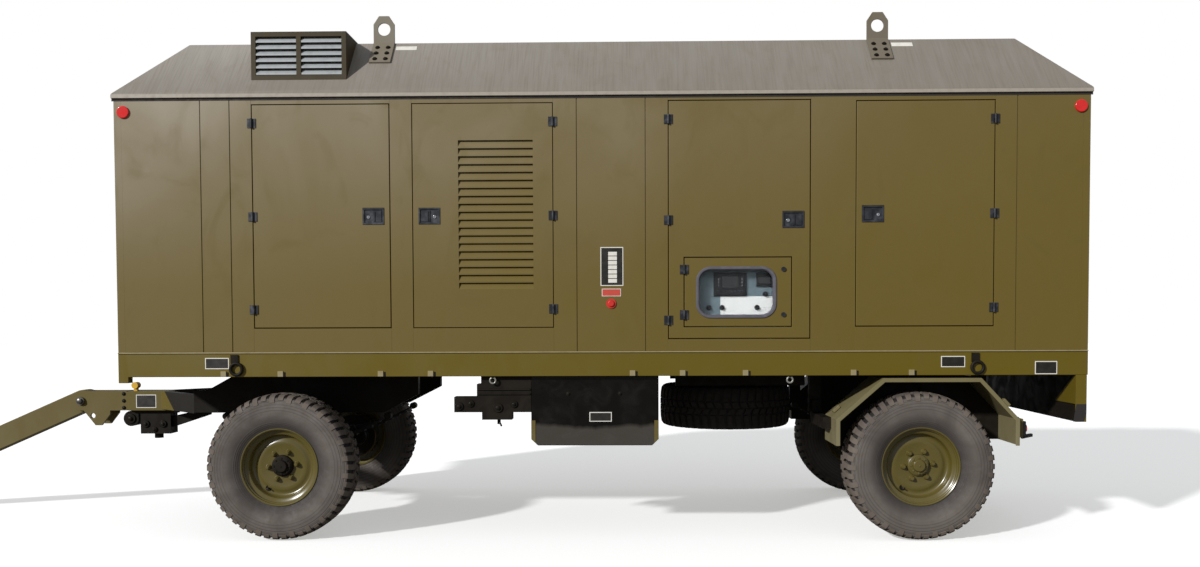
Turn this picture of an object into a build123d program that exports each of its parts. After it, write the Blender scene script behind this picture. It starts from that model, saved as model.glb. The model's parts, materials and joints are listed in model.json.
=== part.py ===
from build123d import *
from math import atan2, cos, degrees, radians, sin
import os

os.makedirs("parts", exist_ok=True)

# Mobile diesel generator: a sheet-steel housing with doors on a two-axle drawbar trailer.
# Millimetres. +X to the rear, -Y is the side with the control panel, +Z up, Z 0 is the ground.

# Housing
housing_length = 6730
housing_width = 2490
wall = 50
wall_bottom = 1331
wall_top = 3090
seam = 6

# Roof
eave_height = 32
eave_overhang = 15
roof_rise = 431
roof_run = 400
roof_skin = 45

# Outlet boxes on the roof, lifting eyes and reflectors
box_left = -2430
box_right = -1760
box_setback = 85
box_depth = 360
box_rise = 12
box_border = 34
box_recess = 45
slat_count = 6
slat_setback = 4
slat_thickness = 10
slat_rise = 38
eye_xs = (-1556, 1994)
eye_plate = 14
eye_plate_width = 153
eye_foot_run = 170
eye_head_height = 192
eye_hole = 45
eye_hole_drop = 95
eye_corner_drop = 60
eye_corner_run = 40
reflector_inset = 67
reflector_drop = 93
reflector_radius = 43
reflector_depth = 14
reflector_rounding = 6

# Base frame
skirt_step = 5
frame_bottom = 1157
side_beam = 70
rail_depth = 80
rail_width = 70
rail_half_gauge = 500
deck = 16
cross_beam_depth = 55
cross_beam_width = 60
corner_shoe = 42
cross_beam_xs = (-2940, -1600, -720, 300, 1480, 3020)

# Doors, each by its left and right edge, bottom and top
door_thickness = 40
door_gap = 6
doors = {
    "door_1": (-2401, -1450, 1500, 3040, "left"),
    "door_2": (-1287, -320, 1500, 3040, "right"),
    "door_3": (483, 1454, 1418, 3050, "left"),
    "door_4": (1773, 2714, 1500, 3040, "right"),
}
panel_seams = (-2764, -2559, -152, 322, 2869)
hatch_left = 592
hatch_right = 1327
hatch_bottom = 1500
hatch_top = 1973
hatch_thickness = 30
window_left = 673
window_right = 1225
window_bottom = 1557
window_top = 1910
window_corner = 100
window_rim = 22
glass = 6
louvre_left = -972
louvre_right = -454
louvre_bottom = 1763
louvre_top = 2800
louvre_count = 19
louvre_depth = 22
louvre_bridge = 10

# Hinges and latches
hinge_height = 64
hinge_width = 60
hinge_leaf = 5
barrel_radius = 8
barrel_stand = 12
leaf_step = 1
hinge_inset = 125
hatch_hinge_inset = 80
pin_gap = 0.4
latch_width = 150
latch_height = 115
latch_depth = 12
latch_inset = 113
paddle_gap = 3
paddle_sink = 4
catch_inset = 54
catch_radius = 16
catch_stand = 10

# Control cabinet behind door 3, and the emergency stop beside the door
cabinet_left = 560
cabinet_right = 1380
cabinet_top = 2250
cabinet_gap = 45
cabinet_depth = 250
controller_xs = (798, 1029)
controller_zs = (1709, 1873)
controller_depth = 25
breaker_xs = (1097, 1206)
breaker_zs = (1777, 1871)
breaker_depth = 20
knobs = ((767, 1630), (858, 1630), (1103, 1630), (1160, 1724))
knob_radius = 15
knob_depth = 22
stop_x = 83
stop_z = 1660
stop_collar_radius = 34
stop_collar_depth = 8
stop_button_radius = 22
stop_button_depth = 12
stop_rounding = 5

# Wheels and axles
tyre_radius = 518
tyre_width = 335
bead_radius = 256
flange_radius = 275
rim_width = 262
bead_inset = 70
flank_inset = 44
flank_rise = 26
belly_rise = 10
shoulder_inset = 14
shoulder_drop = 40
turn_inset = 26
turn_drop = 18
crown_inset = 46
crown_drop = 8
flange_width = 14
seat_inset = 26
seat_gap = 1
gutter_inset = 22
well_drop = 34
disc_setback = 95
disc_thickness = 14
barrel_wall = 12
stud_circle = 205
stud_count = 6
hub_radius = 75
hub_reach = 62
hub_collar_reach = 37
hub_neck_radius = 52
hub_nose_radius = 46
stud_radius = 14
stud_length = 26
drum_radius = 200
boss_radius = 60
drum_clearance = 5
drum_setback = 10
back_plate = 12
back_plate_step = 10
front_overhang = 1107
rear_overhang = 1128
axle_size = 120
spring_half_gauge = 500
spring_width = 80
spring_half_span = 620
spring_eye_height = 820
spring_pack = 72
spring_tip = 26
spring_eye_radius = 28
hanger_half = 45
running_gap = 0.5

# Turntable and its frame
ring_radius = 520
ring_bore = 425
ring_thickness = 34
turntable_top = 1150
turntable_rail_width = 80
turntable_rear = 860
turntable_front = -862
arm_bottom = 842
arm_top = 1020
arm_flat = 105
arm_rise = 340
rail_tail = 985
rail_bevel = 270
cross_member_reach = 430
cross_member_half = 40
cross_member_depth = 120

# Drawbar
nose_half_width = 110
nose_top = 986
nose_bottom = 830
nose_reach = 1588
nose_length = 330
nose_slope = 138
flange_joint = 18
flange_inset = 12
flange_lip = 4
arm_depth = 144
arm_root = 40
arm_tip_inner = 20
arm_tip_step = 5
head_half_width = 90
cheek = 22
knuckle_radius = 78
head_length = 372
head_slot_depth = 130
lobe_front = 20
lobe_toe = 115
lobe_heel = 165
lobe_rear = 235
lobe_drop = 120
lobe_rear_drop = 30
lobe_hole = 20
lobe_hole_offset = 95
lobe_hole_drop = 42
shaft_height = 175
shaft_width = 132
shaft_angle = 23.5
shaft_taper = 500
shaft_end_step = 14
eye_outer = 78
eye_bore = 38
eye_thickness = 50
eye_shank = 34
eye_stem = 230
eye_root = 10
eye_collar = 24
eye_collar_step = 8
pin_radius = 24
pin_head = 34
pin_end = 16
pin_clearance = 0.5

# Brake unit below the nose, and the air coupling on it
roller_inset = 20
roller_z = 762
roller_radius = 62
roller_half_width = 60
roller_arm = 60
brake_plate = 28
brake_plate_reach = 40
valve_block_inset = 101
valve_block_length = 245
valve_block_half = 70
valve_block_bottom = 640
stud_inset = 221
brake_stud_radius = 34
brake_stud_length = 40
coupling_inset = 66
coupling_y = -60
coupling_half = 14
coupling_stand = 46
coupling_radius = 26
coupling_reach = 30

# Spare wheel, tank and brackets below the frame
spare_x = 980
spare_bottom = 700
spindle_radius = 26
spindle_below = 60
clamp_plate = 16
clamp_upper_step = 40
clamp_lower_step = 25
cradle_xs = (560, 1540)
cradle_width = 40
cradle_drop = 135
cradle_tie = 30
tank_left = -480
tank_right = 412
tank_setback = 50
tank_depth = 560
tank_bottom = 668
tank_chamfer = 45
valve_lefts = (-830, -860, -1020)
valve_levels = (frame_bottom, 1100, 1010, 903)
valve_depth = 110
valve_foot_xs = (-825, -615)
valve_foot_bottom = 850
drain_x = -712
drain_radius = 12
drain_bottom = 815

# Mudguards and rear end
guard_sheet = 5
guard_drop = 20
guard_depth = 430
guard_lip = 28
guard_miter = 0.4
guard_front_reach = 597
guard_rear_reach = 668
guard_top_front = 272
guard_top_rear = 403
guard_knee = 850
guard_foot = 668
splash_sheet = 5
stay_depth = 80
stay_reach = 60
stay_outward = 240
stay_inward = 80
riser_half = 30
riser_height = 90
rear_plate = 75
rear_setback = 6
bracket_sheet = 8
bracket_head = 30
bracket_reach = 360
bracket_toe = 10
bumper_top = 955
bumper_inset = 2
valance_sheet = 5
bumper_bottom = 832

# Lashing points on the side beams, and small ones below them
lashing_xs = (-2545, 2592)
lug_half = 26
lug_depth = 12
lug_bottom = 1250
lug_height = 62
ring_size = 40
ring_bar = 11
ring_offset = 14
ring_stand = 14
ring_drop = 38
small_lashing_xs = (-744, 1322)
tab_setback = 12
tab_half = 8
tab_height = 12
small_ring_size = 20
small_ring_bar = 6
small_ring_drop = 30

# Places along the machine, each counted from the housing's end or from the piece that carries it
half_length = housing_length / 2
front_axle_x = -half_length + front_overhang
rear_axle_x = half_length - rear_overhang
nose_front = front_axle_x - nose_reach
nose_slope_top = nose_front + nose_length
nose_slope_bottom = nose_slope_top + nose_slope
pivot_x = nose_front - head_length
coupling_x = nose_front + coupling_inset
valve_block_xs = (nose_front + valve_block_inset, nose_front + valve_block_inset + valve_block_length)
stud_x = nose_front + stud_inset

# The housing's middle, so that the origin is below the middle of the whole machine
tilt = radians(shaft_angle)
pivot_z = (nose_top + nose_bottom) / 2
eye_z = eye_outer * sin(tilt) + eye_thickness / 2 * cos(tilt)
eye_reach = (pivot_z - eye_z) / sin(tilt)
front_end = pivot_x - eye_reach * cos(tilt) - eye_outer * cos(tilt) - eye_thickness / 2 * sin(tilt)
rear_end = half_length + eave_overhang
mid = -(front_end + rear_end) / 2

# Working planes: side has X and Z, ground has X and Y, across has Y and Z
side = Plane(origin=(mid, 0, 0), x_dir=(1, 0, 0), z_dir=(0, -1, 0))
ground = Plane(origin=(mid, 0, 0))
across = Plane(origin=(mid, 0, 0), x_dir=(0, 1, 0), z_dir=(1, 0, 0))

# Sizes that follow from those above
half_width = housing_width / 2
frame_half = half_width + skirt_step
tank_front = frame_half - tank_setback
beam_inner = frame_half - side_beam
deck_top = wall_bottom
rail_top = deck_top - deck
rail_bottom = rail_top - rail_depth
eave_top = wall_top + eave_height
roof_top = eave_top + roof_rise
eave_half_length = half_length + eave_overhang
eave_half_width = half_width + eave_overhang
slope = atan2(roof_rise, roof_run)
wheel_centre = frame_half - tyre_width / 2
drum_inner = frame_half - tyre_width - drum_setback
axle_end = drum_inner - drum_clearance
axle_half = axle_size / 2


def save(piece, label):
    """Name a finished piece and write its file."""
    piece.part.label = label
    export_step(piece.part, f"parts/{label}.step")


def block(x_span, y_span, z_span, mode=Mode.ADD):
    """Add or cut a block between two corners, X counted from the housing's middle."""
    centre = [(low + high) / 2 for low, high in (x_span, y_span, z_span)]
    with Locations((mid + centre[0], centre[1], centre[2])):
        Box(*[high - low for low, high in (x_span, y_span, z_span)], mode=mode)


def slab(points, y_low, y_high, mode=Mode.ADD):
    """Add or cut a plate with an outline of (X, Z) points between two Y values."""
    with BuildSketch(side.offset(-y_high)) as outline:
        Polygon(*points, align=None)
    extrude(outline.sketch, amount=y_high - y_low, mode=mode)


def rod(x, z, radius, y_low, y_high, mode=Mode.ADD):
    """Add or cut a round bar along Y."""
    with BuildSketch(side.offset(-y_high)) as outline:
        with Locations((x, z)):
            Circle(radius)
    extrude(outline.sketch, amount=y_high - y_low, mode=mode)


def post(x, y, radius, z_low, z_high, mode=Mode.ADD):
    """Add or cut an upright round bar."""
    with BuildSketch(ground.offset(z_low)) as outline:
        with Locations((x, y)):
            Circle(radius)
    extrude(outline.sketch, amount=z_high - z_low, mode=mode)


# Base frame: two deep side beams with corner shoes at the front, and two shallow inner rails
with BuildPart() as frame_long_beams:
    block((-half_length, half_length), (beam_inner, frame_half), (frame_bottom, wall_bottom))
    block(
        (-half_length, -half_length + side_beam),
        (beam_inner, frame_half),
        (frame_bottom - corner_shoe, frame_bottom),
    )
    block(
        (-half_length + side_beam, half_length - side_beam),
        (rail_half_gauge - rail_width / 2, rail_half_gauge + rail_width / 2),
        (rail_bottom, rail_top),
    )
    mirror(about=Plane.XZ)
save(frame_long_beams, "frame_long_beams")

with BuildPart() as frame_cross_beams:
    for end in (-1, 1):
        inner, outer = sorted((end * (half_length - side_beam), end * half_length))
        block((inner, outer), (-beam_inner, beam_inner), (frame_bottom, wall_bottom))
    for x in (*cross_beam_xs, spare_x):
        block(
            (x - cross_beam_width / 2, x + cross_beam_width / 2),
            (-beam_inner, beam_inner),
            (rail_bottom - cross_beam_depth, rail_bottom),
        )
save(frame_cross_beams, "frame_cross_beams")

with BuildPart() as floor_deck:
    block(
        (-half_length + side_beam, half_length - side_beam),
        (-beam_inner, beam_inner),
        (rail_top, deck_top),
    )
save(floor_deck, "floor_deck")

# Near wall: full-height panels beside the doors, a sill and a header at each doorway
openings = {
    name: (left - door_gap, right + door_gap, bottom - door_gap, top + door_gap)
    for name, (left, right, bottom, top, _) in doors.items()
}
edges = sorted(openings.values())
panel_lefts = [-half_length + wall] + [opening[1] for opening in edges]
panel_rights = [opening[0] for opening in edges] + [half_length - wall]
near_y = (-half_width, -half_width + wall)
with BuildPart() as near_wall_panels:
    for left, right in zip(panel_lefts, panel_rights):
        block((left, right), near_y, (wall_bottom, wall_top))
    for x in panel_seams:
        block(
            (x - seam / 2, x + seam / 2),
            (-half_width, -half_width + seam),
            (wall_bottom, wall_top),
            Mode.SUBTRACT,
        )
save(near_wall_panels, "near_wall_panels")

with BuildPart() as door_sills_headers:
    for left, right, bottom, top in edges:
        block((left, right), near_y, (wall_bottom, bottom))
        block((left, right), near_y, (top, wall_top))
save(door_sills_headers, "door_sills_headers")


def louvres(y_face, y_inward):
    """Press a panel's louvres in, each flush at its foot and deepest at its head; y_inward is +1 or -1."""
    pitch = (louvre_top - louvre_bottom) / louvre_count
    for row in range(louvre_count):
        foot = louvre_bottom + row * pitch
        head = foot + pitch - louvre_bridge
        with BuildSketch(across.offset(louvre_left)) as outline:
            Polygon((y_face, foot), (y_face, head), (y_face + y_inward * louvre_depth, head), align=None)
        extrude(outline.sketch, amount=louvre_right - louvre_left, mode=Mode.SUBTRACT)


def latch_centre(name):
    """X and Z of a door's latch, near the edge away from its hinges."""
    left, right, bottom, top, hinge_side = doors[name]
    x = right - latch_inset if hinge_side == "left" else left + latch_inset
    return x, (bottom + top) / 2


# Far wall: one slab that repeats the near side's seams, door outlines, louvres and latch recesses
with BuildPart() as far_wall:
    far_y = (half_width - wall, half_width)
    block((-half_length + wall, half_length - wall), far_y, (wall_bottom, wall_top))
    for x in panel_seams:
        block(
            (x - seam / 2, x + seam / 2),
            (half_width - seam, half_width),
            (wall_bottom, wall_top),
            Mode.SUBTRACT,
        )
    for name, (left, right, bottom, top) in openings.items():
        with BuildSketch(side.offset(-half_width)):
            with Locations(((left + right) / 2, (bottom + top) / 2)):
                Rectangle(right - left, top - bottom)
                Rectangle(right - left - 2 * door_gap, top - bottom - 2 * door_gap, mode=Mode.SUBTRACT)
        extrude(amount=latch_depth, mode=Mode.SUBTRACT)
        x, z = latch_centre(name)
        block(
            (x - latch_width / 2, x + latch_width / 2),
            (half_width - latch_depth, half_width),
            (z - latch_height / 2, z + latch_height / 2),
            Mode.SUBTRACT,
        )
    louvres(half_width, -1)
save(far_wall, "far_wall")

for end, label in ((-1, "front_wall"), (1, "rear_wall")):
    inner, outer = sorted((end * (half_length - wall), end * half_length))
    groove = sorted((end * (half_length - seam), end * half_length))
    with BuildPart() as end_wall:
        block((inner, outer), (-half_width, half_width), (wall_bottom, wall_top))
        for y in (-half_width / 3, half_width / 3):
            block(groove, (y - seam / 2, y + seam / 2), (wall_bottom, wall_top), Mode.SUBTRACT)
    save(end_wall, label)

# Roof: an eave band and four slopes up to a flat top, as one folded skin open below
with BuildPart() as roof:
    block(
        (-eave_half_length, eave_half_length),
        (-eave_half_width, eave_half_width),
        (wall_top, eave_top),
    )
    with BuildSketch(ground.offset(eave_top)):
        Rectangle(2 * eave_half_length, 2 * eave_half_width)
    with BuildSketch(ground.offset(roof_top)):
        Rectangle(2 * (eave_half_length - roof_run), 2 * (eave_half_width - roof_run))
    loft()
    with BuildSketch(ground.offset(wall_top)):
        Rectangle(2 * (half_length - wall), 2 * (half_width - wall))
    with BuildSketch(ground.offset(eave_top)):
        Rectangle(2 * (half_length - wall), 2 * (half_width - wall))
    loft(mode=Mode.SUBTRACT)
    with BuildSketch(ground.offset(eave_top)):
        Rectangle(2 * (half_length - wall), 2 * (half_width - wall))
    with BuildSketch(ground.offset(roof_top - roof_skin)):
        inner_run = roof_run - (eave_half_length - half_length + wall) + roof_run * roof_skin / roof_rise
        Rectangle(2 * (half_length - wall - inner_run), 2 * (half_width - wall - inner_run))
    loft(mode=Mode.SUBTRACT)
save(roof, "roof")


def slope_height(y):
    """Height of the roof's side slope at a distance y from the middle."""
    return eave_top + (eave_half_width - y) * roof_rise / roof_run


# Louvred outlet boxes that stand out of the side slopes, with a recessed face in two bays
box_face = half_width - box_setback
box_top = roof_top + box_rise
with BuildPart() as roof_louvre_boxes:
    flat_edge = eave_half_width - roof_run
    with BuildSketch(across.offset(box_left)):
        Polygon(
            (box_face, slope_height(box_face)),
            (box_face, box_top),
            (box_face - box_depth, box_top),
            (box_face - box_depth, roof_top),
            (flat_edge, roof_top),
            align=None,
        )
    extrude(amount=box_right - box_left)
    bay_low = slope_height(box_face) + box_border
    bay_high = box_top - box_border
    middle = (box_left + box_right) / 2
    left_bay = (box_left + box_border, middle - box_border / 2)
    right_bay = (middle + box_border / 2, box_right - box_border)
    for bay in (left_bay, right_bay):
        block(bay, (box_face - box_recess, box_face), (bay_low, bay_high), Mode.SUBTRACT)
        pitch = (bay_high - bay_low) / slat_count
        for row in range(slat_count):
            z = bay_low + row * pitch + slat_setback
            with BuildSketch(across.offset(bay[0])):
                Polygon(
                    (box_face - slat_setback, z),
                    (box_face - slat_setback, z + slat_thickness),
                    (box_face - box_recess, z + slat_rise + slat_thickness),
                    (box_face - box_recess, z + slat_rise),
                    align=None,
                )
            extrude(amount=bay[1] - bay[0])
    mirror(about=Plane.XZ)
save(roof_louvre_boxes, "roof_louvre_boxes")

# Lifting eyes: a bent plate, its foot on the slope and its head upright with a large hole
with BuildPart() as lifting_eyes:
    fold_y = eave_half_width - roof_run
    eye_foot_y = fold_y + eye_foot_run
    eye_plate_top = roof_top + eye_head_height
    foot_z = slope_height(eye_foot_y)
    head_y = fold_y + eye_plate
    reach = (eye_foot_y + eye_plate * sin(slope) - head_y) / cos(slope)
    for x in eye_xs:
        with BuildSketch(across.offset(x - eye_plate_width / 2)):
            Polygon(
                (eye_foot_y, foot_z),
                (fold_y, roof_top),
                (fold_y, eye_plate_top),
                (head_y, eye_plate_top),
                (head_y, foot_z + eye_plate * cos(slope) + reach * sin(slope)),
                (eye_foot_y + eye_plate * sin(slope), foot_z + eye_plate * cos(slope)),
                align=None,
            )
        extrude(amount=eye_plate_width)
        rod(x, eye_plate_top - eye_hole_drop, eye_hole, fold_y, head_y, Mode.SUBTRACT)
        for end in (-1, 1):
            corner = x + end * eye_plate_width / 2
            slab(
                (
                    (corner, eye_plate_top),
                    (corner, eye_plate_top - eye_corner_drop),
                    (corner - end * eye_corner_run, eye_plate_top),
                ),
                fold_y,
                head_y,
                Mode.SUBTRACT,
            )
    mirror(about=Plane.XZ)
save(lifting_eyes, "lifting_eyes")

with BuildPart() as side_reflectors:
    for x in (-half_length + reflector_inset, half_length - reflector_inset):
        rod(x, wall_top - reflector_drop, reflector_radius, half_width, half_width + reflector_depth)
    mirror(about=Plane.XZ)
    for side_faces in (0, -1):
        rims = side_reflectors.edges().filter_by(GeomType.CIRCLE).group_by(Axis.Y)[side_faces]
        fillet(rims, reflector_rounding)
save(side_reflectors, "side_reflectors")


# Hinges
def hinge_rows(name):
    """Heights of a door's three hinges."""
    bottom, top = doors[name][2], doors[name][3]
    return bottom + hinge_inset, (bottom + top) / 2, top - hinge_inset


def hinge_edge(name):
    """X of a door's hinge line, in the middle of the gap beside the door."""
    left, right, bottom, top, hinge_side = doors[name]
    return left - door_gap / 2 if hinge_side == "left" else right + door_gap / 2


def hinge_half(x, z, wall_y, towards, upper):
    """One half of a butt hinge: a leaf towards +X or -X and half of the barrel."""
    half = hinge_height / 2
    arm_reach = barrel_radius + leaf_step
    z_low, z_high = (z + pin_gap / 2, z + half) if upper else (z - half, z - pin_gap / 2)
    out = -1 if wall_y < 0 else 1
    barrel_y = wall_y + out * barrel_stand
    leaf_y = sorted((wall_y, wall_y + out * hinge_leaf))
    leaf_x = sorted((x + towards * arm_reach, x + towards * hinge_width / 2))
    block(leaf_x, leaf_y, (z - half, z + half))
    arm_x = sorted((x, x + towards * arm_reach))
    block(arm_x, sorted((wall_y, barrel_y)), (z_low, z_high))
    post(x, barrel_y, barrel_radius, z_low, z_high)


with BuildPart() as wall_hinges:
    for name in doors:
        towards = -1 if doors[name][4] == "left" else 1
        for z in hinge_rows(name):
            hinge_half(hinge_edge(name), z, -half_width, towards, False)
            hinge_half(hinge_edge(name), z, half_width, towards, False)
            hinge_half(hinge_edge(name), z, half_width, -towards, True)
save(wall_hinges, "wall_hinges")


# Doors: a slab with a latch recess, and its moving hinge halves and latch paddle
def hatch_hole():
    """Cut the hatch's doorway through door 3."""
    block(
        (hatch_left - door_gap, hatch_right + door_gap),
        (-half_width, -half_width + door_thickness),
        (hatch_bottom - door_gap, hatch_top + door_gap),
        Mode.SUBTRACT,
    )


for name, (left, right, bottom, top, hinge_side) in doors.items():
    latch_x, latch_z = latch_centre(name)
    latch_x_span = (latch_x - latch_width / 2, latch_x + latch_width / 2)
    latch_z_span = (latch_z - latch_height / 2, latch_z + latch_height / 2)
    door_y = (-half_width, -half_width + door_thickness)
    with BuildPart() as door:
        block((left, right), door_y, (bottom, top))
        if name == "door_3":
            hatch_hole()
        block(latch_x_span, (-half_width, -half_width + latch_depth), latch_z_span, Mode.SUBTRACT)
        if name == "door_2":
            louvres(-half_width, 1)
    save(door, name)
    with BuildPart() as fittings:
        towards = 1 if hinge_side == "left" else -1
        for z in hinge_rows(name):
            hinge_half(hinge_edge(name), z, -half_width, towards, True)
        block(
            [edge + sign * paddle_gap for edge, sign in zip(latch_x_span, (1, -1))],
            (-half_width + paddle_sink, -half_width + latch_depth),
            [edge + sign * paddle_gap for edge, sign in zip(latch_z_span, (1, -1))],
        )
        if name == "door_3":
            for z in (hatch_bottom + hatch_hinge_inset, hatch_top - hatch_hinge_inset):
                hinge_half(hatch_left - door_gap / 2, z, -half_width, -1, False)
    save(fittings, f"{name}_fittings")

# Inspection hatch in door 3 with its window, hinges and catches
with BuildPart() as hatch:
    block(
        (hatch_left, hatch_right),
        (-half_width, -half_width + hatch_thickness),
        (hatch_bottom, hatch_top),
    )
    with BuildSketch(side.offset(half_width)):
        with Locations(((window_left + window_right) / 2, (window_bottom + window_top) / 2)):
            RectangleRounded(window_right - window_left, window_top - window_bottom, window_corner)
    extrude(amount=-hatch_thickness, mode=Mode.SUBTRACT)
save(hatch, "hatch")

with BuildPart() as hatch_fittings:
    for z in (hatch_bottom + hatch_hinge_inset, hatch_top - hatch_hinge_inset):
        hinge_half(hatch_left - door_gap / 2, z, -half_width, 1, True)
        rod(hatch_right - catch_inset, z, catch_radius, -half_width - catch_stand, -half_width)
save(hatch_fittings, "hatch_fittings")

with BuildPart() as hatch_window:
    with BuildSketch(side.offset(half_width)):
        with Locations(((window_left + window_right) / 2, (window_bottom + window_top) / 2)):
            RectangleRounded(window_right - window_left, window_top - window_bottom, window_corner)
    extrude(amount=-hatch_thickness)
    pane_width = window_right - window_left - 2 * window_rim
    pane_height = window_top - window_bottom - 2 * window_rim
    groove = (hatch_thickness - glass) / 2
    for start in (half_width, half_width - groove - glass):
        with BuildSketch(side.offset(start)):
            with Locations(((window_left + window_right) / 2, (window_bottom + window_top) / 2)):
                RectangleRounded(pane_width, pane_height, window_corner - window_rim)
        extrude(amount=-groove, mode=Mode.SUBTRACT)
save(hatch_window, "hatch_window")

# Control cabinet behind door 3, with the controller, breaker and knobs on its face
cabinet_face = -half_width + wall + cabinet_gap
with BuildPart() as control_cabinet:
    cabinet_y = (cabinet_face, cabinet_face + cabinet_depth)
    block((cabinet_left, cabinet_right), cabinet_y, (deck_top, cabinet_top))
save(control_cabinet, "control_cabinet")

with BuildPart() as panel_instruments:
    block(controller_xs, (cabinet_face - controller_depth, cabinet_face), controller_zs)
    block(breaker_xs, (cabinet_face - breaker_depth, cabinet_face), breaker_zs)
    for x, z in knobs:
        rod(x, z, knob_radius, cabinet_face - knob_depth, cabinet_face)
save(panel_instruments, "panel_instruments")

with BuildPart() as emergency_stop:
    collar_face = -half_width - stop_collar_depth
    rod(stop_x, stop_z, stop_collar_radius, collar_face, -half_width)
    rod(stop_x, stop_z, stop_button_radius, collar_face - stop_button_depth, collar_face)
    fillet(emergency_stop.edges().filter_by(GeomType.CIRCLE).group_by(Axis.Y)[0], stop_rounding)
save(emergency_stop, "emergency_stop")

# Tank under the near side beam, its lower long edges chamfered
with BuildPart() as fuel_tank:
    slab(
        (
            (tank_left, frame_bottom),
            (tank_left, tank_bottom + tank_chamfer),
            (tank_left + tank_chamfer, tank_bottom),
            (tank_right - tank_chamfer, tank_bottom),
            (tank_right, tank_bottom + tank_chamfer),
            (tank_right, frame_bottom),
        ),
        -tank_front,
        -tank_front + tank_depth,
    )
save(fuel_tank, "fuel_tank")

# Brake valve carrier beside the tank, hung from the side beam
with BuildPart() as brake_valve_rail:
    valve_y = (-tank_front, -tank_front + valve_depth)
    for left, top, bottom in zip(valve_lefts, valve_levels, valve_levels[1:]):
        block((left, tank_left), valve_y, (bottom, top))
    block(valve_foot_xs, valve_y, (valve_foot_bottom, valve_levels[-1]))
    post(drain_x, -tank_front + valve_depth / 2, drain_radius, drain_bottom, valve_foot_bottom)
save(brake_valve_rail, "brake_valve_rail")


# Wheels
def tyre_section():
    """Half section of a tyre: distance from its mid plane and radius, one closed outline."""
    half = tyre_width / 2
    bead = half - bead_inset
    flank = (half - flank_inset, bead_radius + flank_rise)
    belly = (half, (bead_radius + tyre_radius) / 2 + belly_rise)
    shoulder = (half - shoulder_inset, tyre_radius - shoulder_drop)
    turn = (half - turn_inset, tyre_radius - turn_drop)
    crown = (half - crown_inset, tyre_radius - crown_drop)
    with BuildLine() as outline:
        Line((bead, bead_radius), flank)
        ThreePointArc(flank, belly, shoulder)
        ThreePointArc(shoulder, turn, crown)
        mirror(about=Plane.YZ)
        ThreePointArc(crown, (0, tyre_radius), (-crown[0], crown[1]))
        Line((-bead, bead_radius), (bead, bead_radius))
    make_face(outline.edges())


def rim_section(inner_end):
    """Half section of a rim with its disc, hub and brake drum; the outer side is +."""
    half = rim_width / 2
    disc = half - disc_setback
    well = bead_radius - well_drop
    drum_face = inner_end + drum_clearance - running_gap
    with BuildLine() as outline:
        Polyline(
            (half, flange_radius),
            (half, flange_radius - barrel_wall),
            (half - gutter_inset, well),
            (disc, well),
            (disc, hub_radius),
            (disc + hub_collar_reach, hub_radius),
            (disc + hub_collar_reach, hub_neck_radius),
            (disc + hub_reach, hub_nose_radius),
            (disc + hub_reach, 0),
            (inner_end, 0),
            (inner_end, boss_radius),
            (drum_face, boss_radius),
            (drum_face, drum_radius),
            (disc - disc_thickness, drum_radius),
            (disc - disc_thickness, well),
            (-half + gutter_inset, well),
            (-half, flange_radius - barrel_wall),
            (-half, flange_radius),
            (-half + flange_width, flange_radius),
            (-half + seat_inset, bead_radius - seat_gap),
            (half - seat_inset, bead_radius - seat_gap),
            (half - flange_width, flange_radius),
            (half, flange_radius),
        )
    make_face(outline.edges())


def wheel(x, near, position):
    """Write one road wheel's tyre and rim."""
    out = -1 if near else 1
    centre = (mid + x, out * wheel_centre, tyre_radius)
    section = Plane(origin=centre, x_dir=(0, out, 0), z_dir=(out, 0, 0))
    spin = Axis(centre, (0, 1, 0))
    with BuildPart() as tyre:
        with BuildSketch(section):
            tyre_section()
        revolve(axis=spin)
    save(tyre, f"tyre_{position}")
    with BuildPart() as rim:
        with BuildSketch(section):
            rim_section(axle_end + running_gap - wheel_centre)
        revolve(axis=spin)
        with Locations(Plane(origin=centre, z_dir=(0, out, 0)).offset(rim_width / 2 - disc_setback)):
            with PolarLocations(stud_circle / 2, stud_count):
                Cylinder(stud_radius, stud_length, align=(Align.CENTER, Align.CENTER, Align.MIN))
    save(rim, f"rim_{position}")


wheel(front_axle_x, True, "front_near")
wheel(front_axle_x, False, "front_far")
wheel(rear_axle_x, True, "rear_near")
wheel(rear_axle_x, False, "rear_far")


def axle(x):
    """An axle: a square beam, its stub ends and the brake back plates."""
    block(
        (x - axle_half, x + axle_half),
        (-axle_end + back_plate, axle_end - back_plate),
        (tyre_radius - axle_half, tyre_radius + axle_half),
    )
    for low, high in ((-axle_end, -axle_end + back_plate), (axle_end - back_plate, axle_end)):
        rod(x, tyre_radius, drum_radius - back_plate_step, low, high)


def leaf_springs(x):
    """A pair of leaf springs on an axle, bowed down to it and thicker at the middle."""
    seat = tyre_radius + axle_half
    front, rear = x - spring_half_span, x + spring_half_span
    eye_top, eye_low = spring_eye_height, spring_eye_height - spring_tip
    for y in (-spring_half_gauge, spring_half_gauge):
        with BuildSketch(side.offset(-y - spring_width / 2)) as outline:
            with BuildLine():
                ThreePointArc((front, eye_top), (x, seat + spring_pack), (rear, eye_top))
                Line((rear, eye_top), (rear, eye_low))
                ThreePointArc((rear, eye_low), (x, seat), (front, eye_low))
                Line((front, eye_low), (front, eye_top))
            make_face()
        extrude(outline.sketch, amount=spring_width)
        for end in (-1, 1):
            rod(
                x + end * spring_half_span,
                spring_eye_height,
                spring_eye_radius,
                y - spring_width / 2,
                y + spring_width / 2,
            )


def hanger(x, y, z_top):
    """A spring hanger from a rail down to the spring's eye."""
    y_span = (y - spring_width / 2, y + spring_width / 2)
    block((x - hanger_half, x + hanger_half), y_span, (spring_eye_height + spring_eye_radius, z_top))


with BuildPart() as rear_axle:
    axle(rear_axle_x)
save(rear_axle, "rear_axle")

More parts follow.
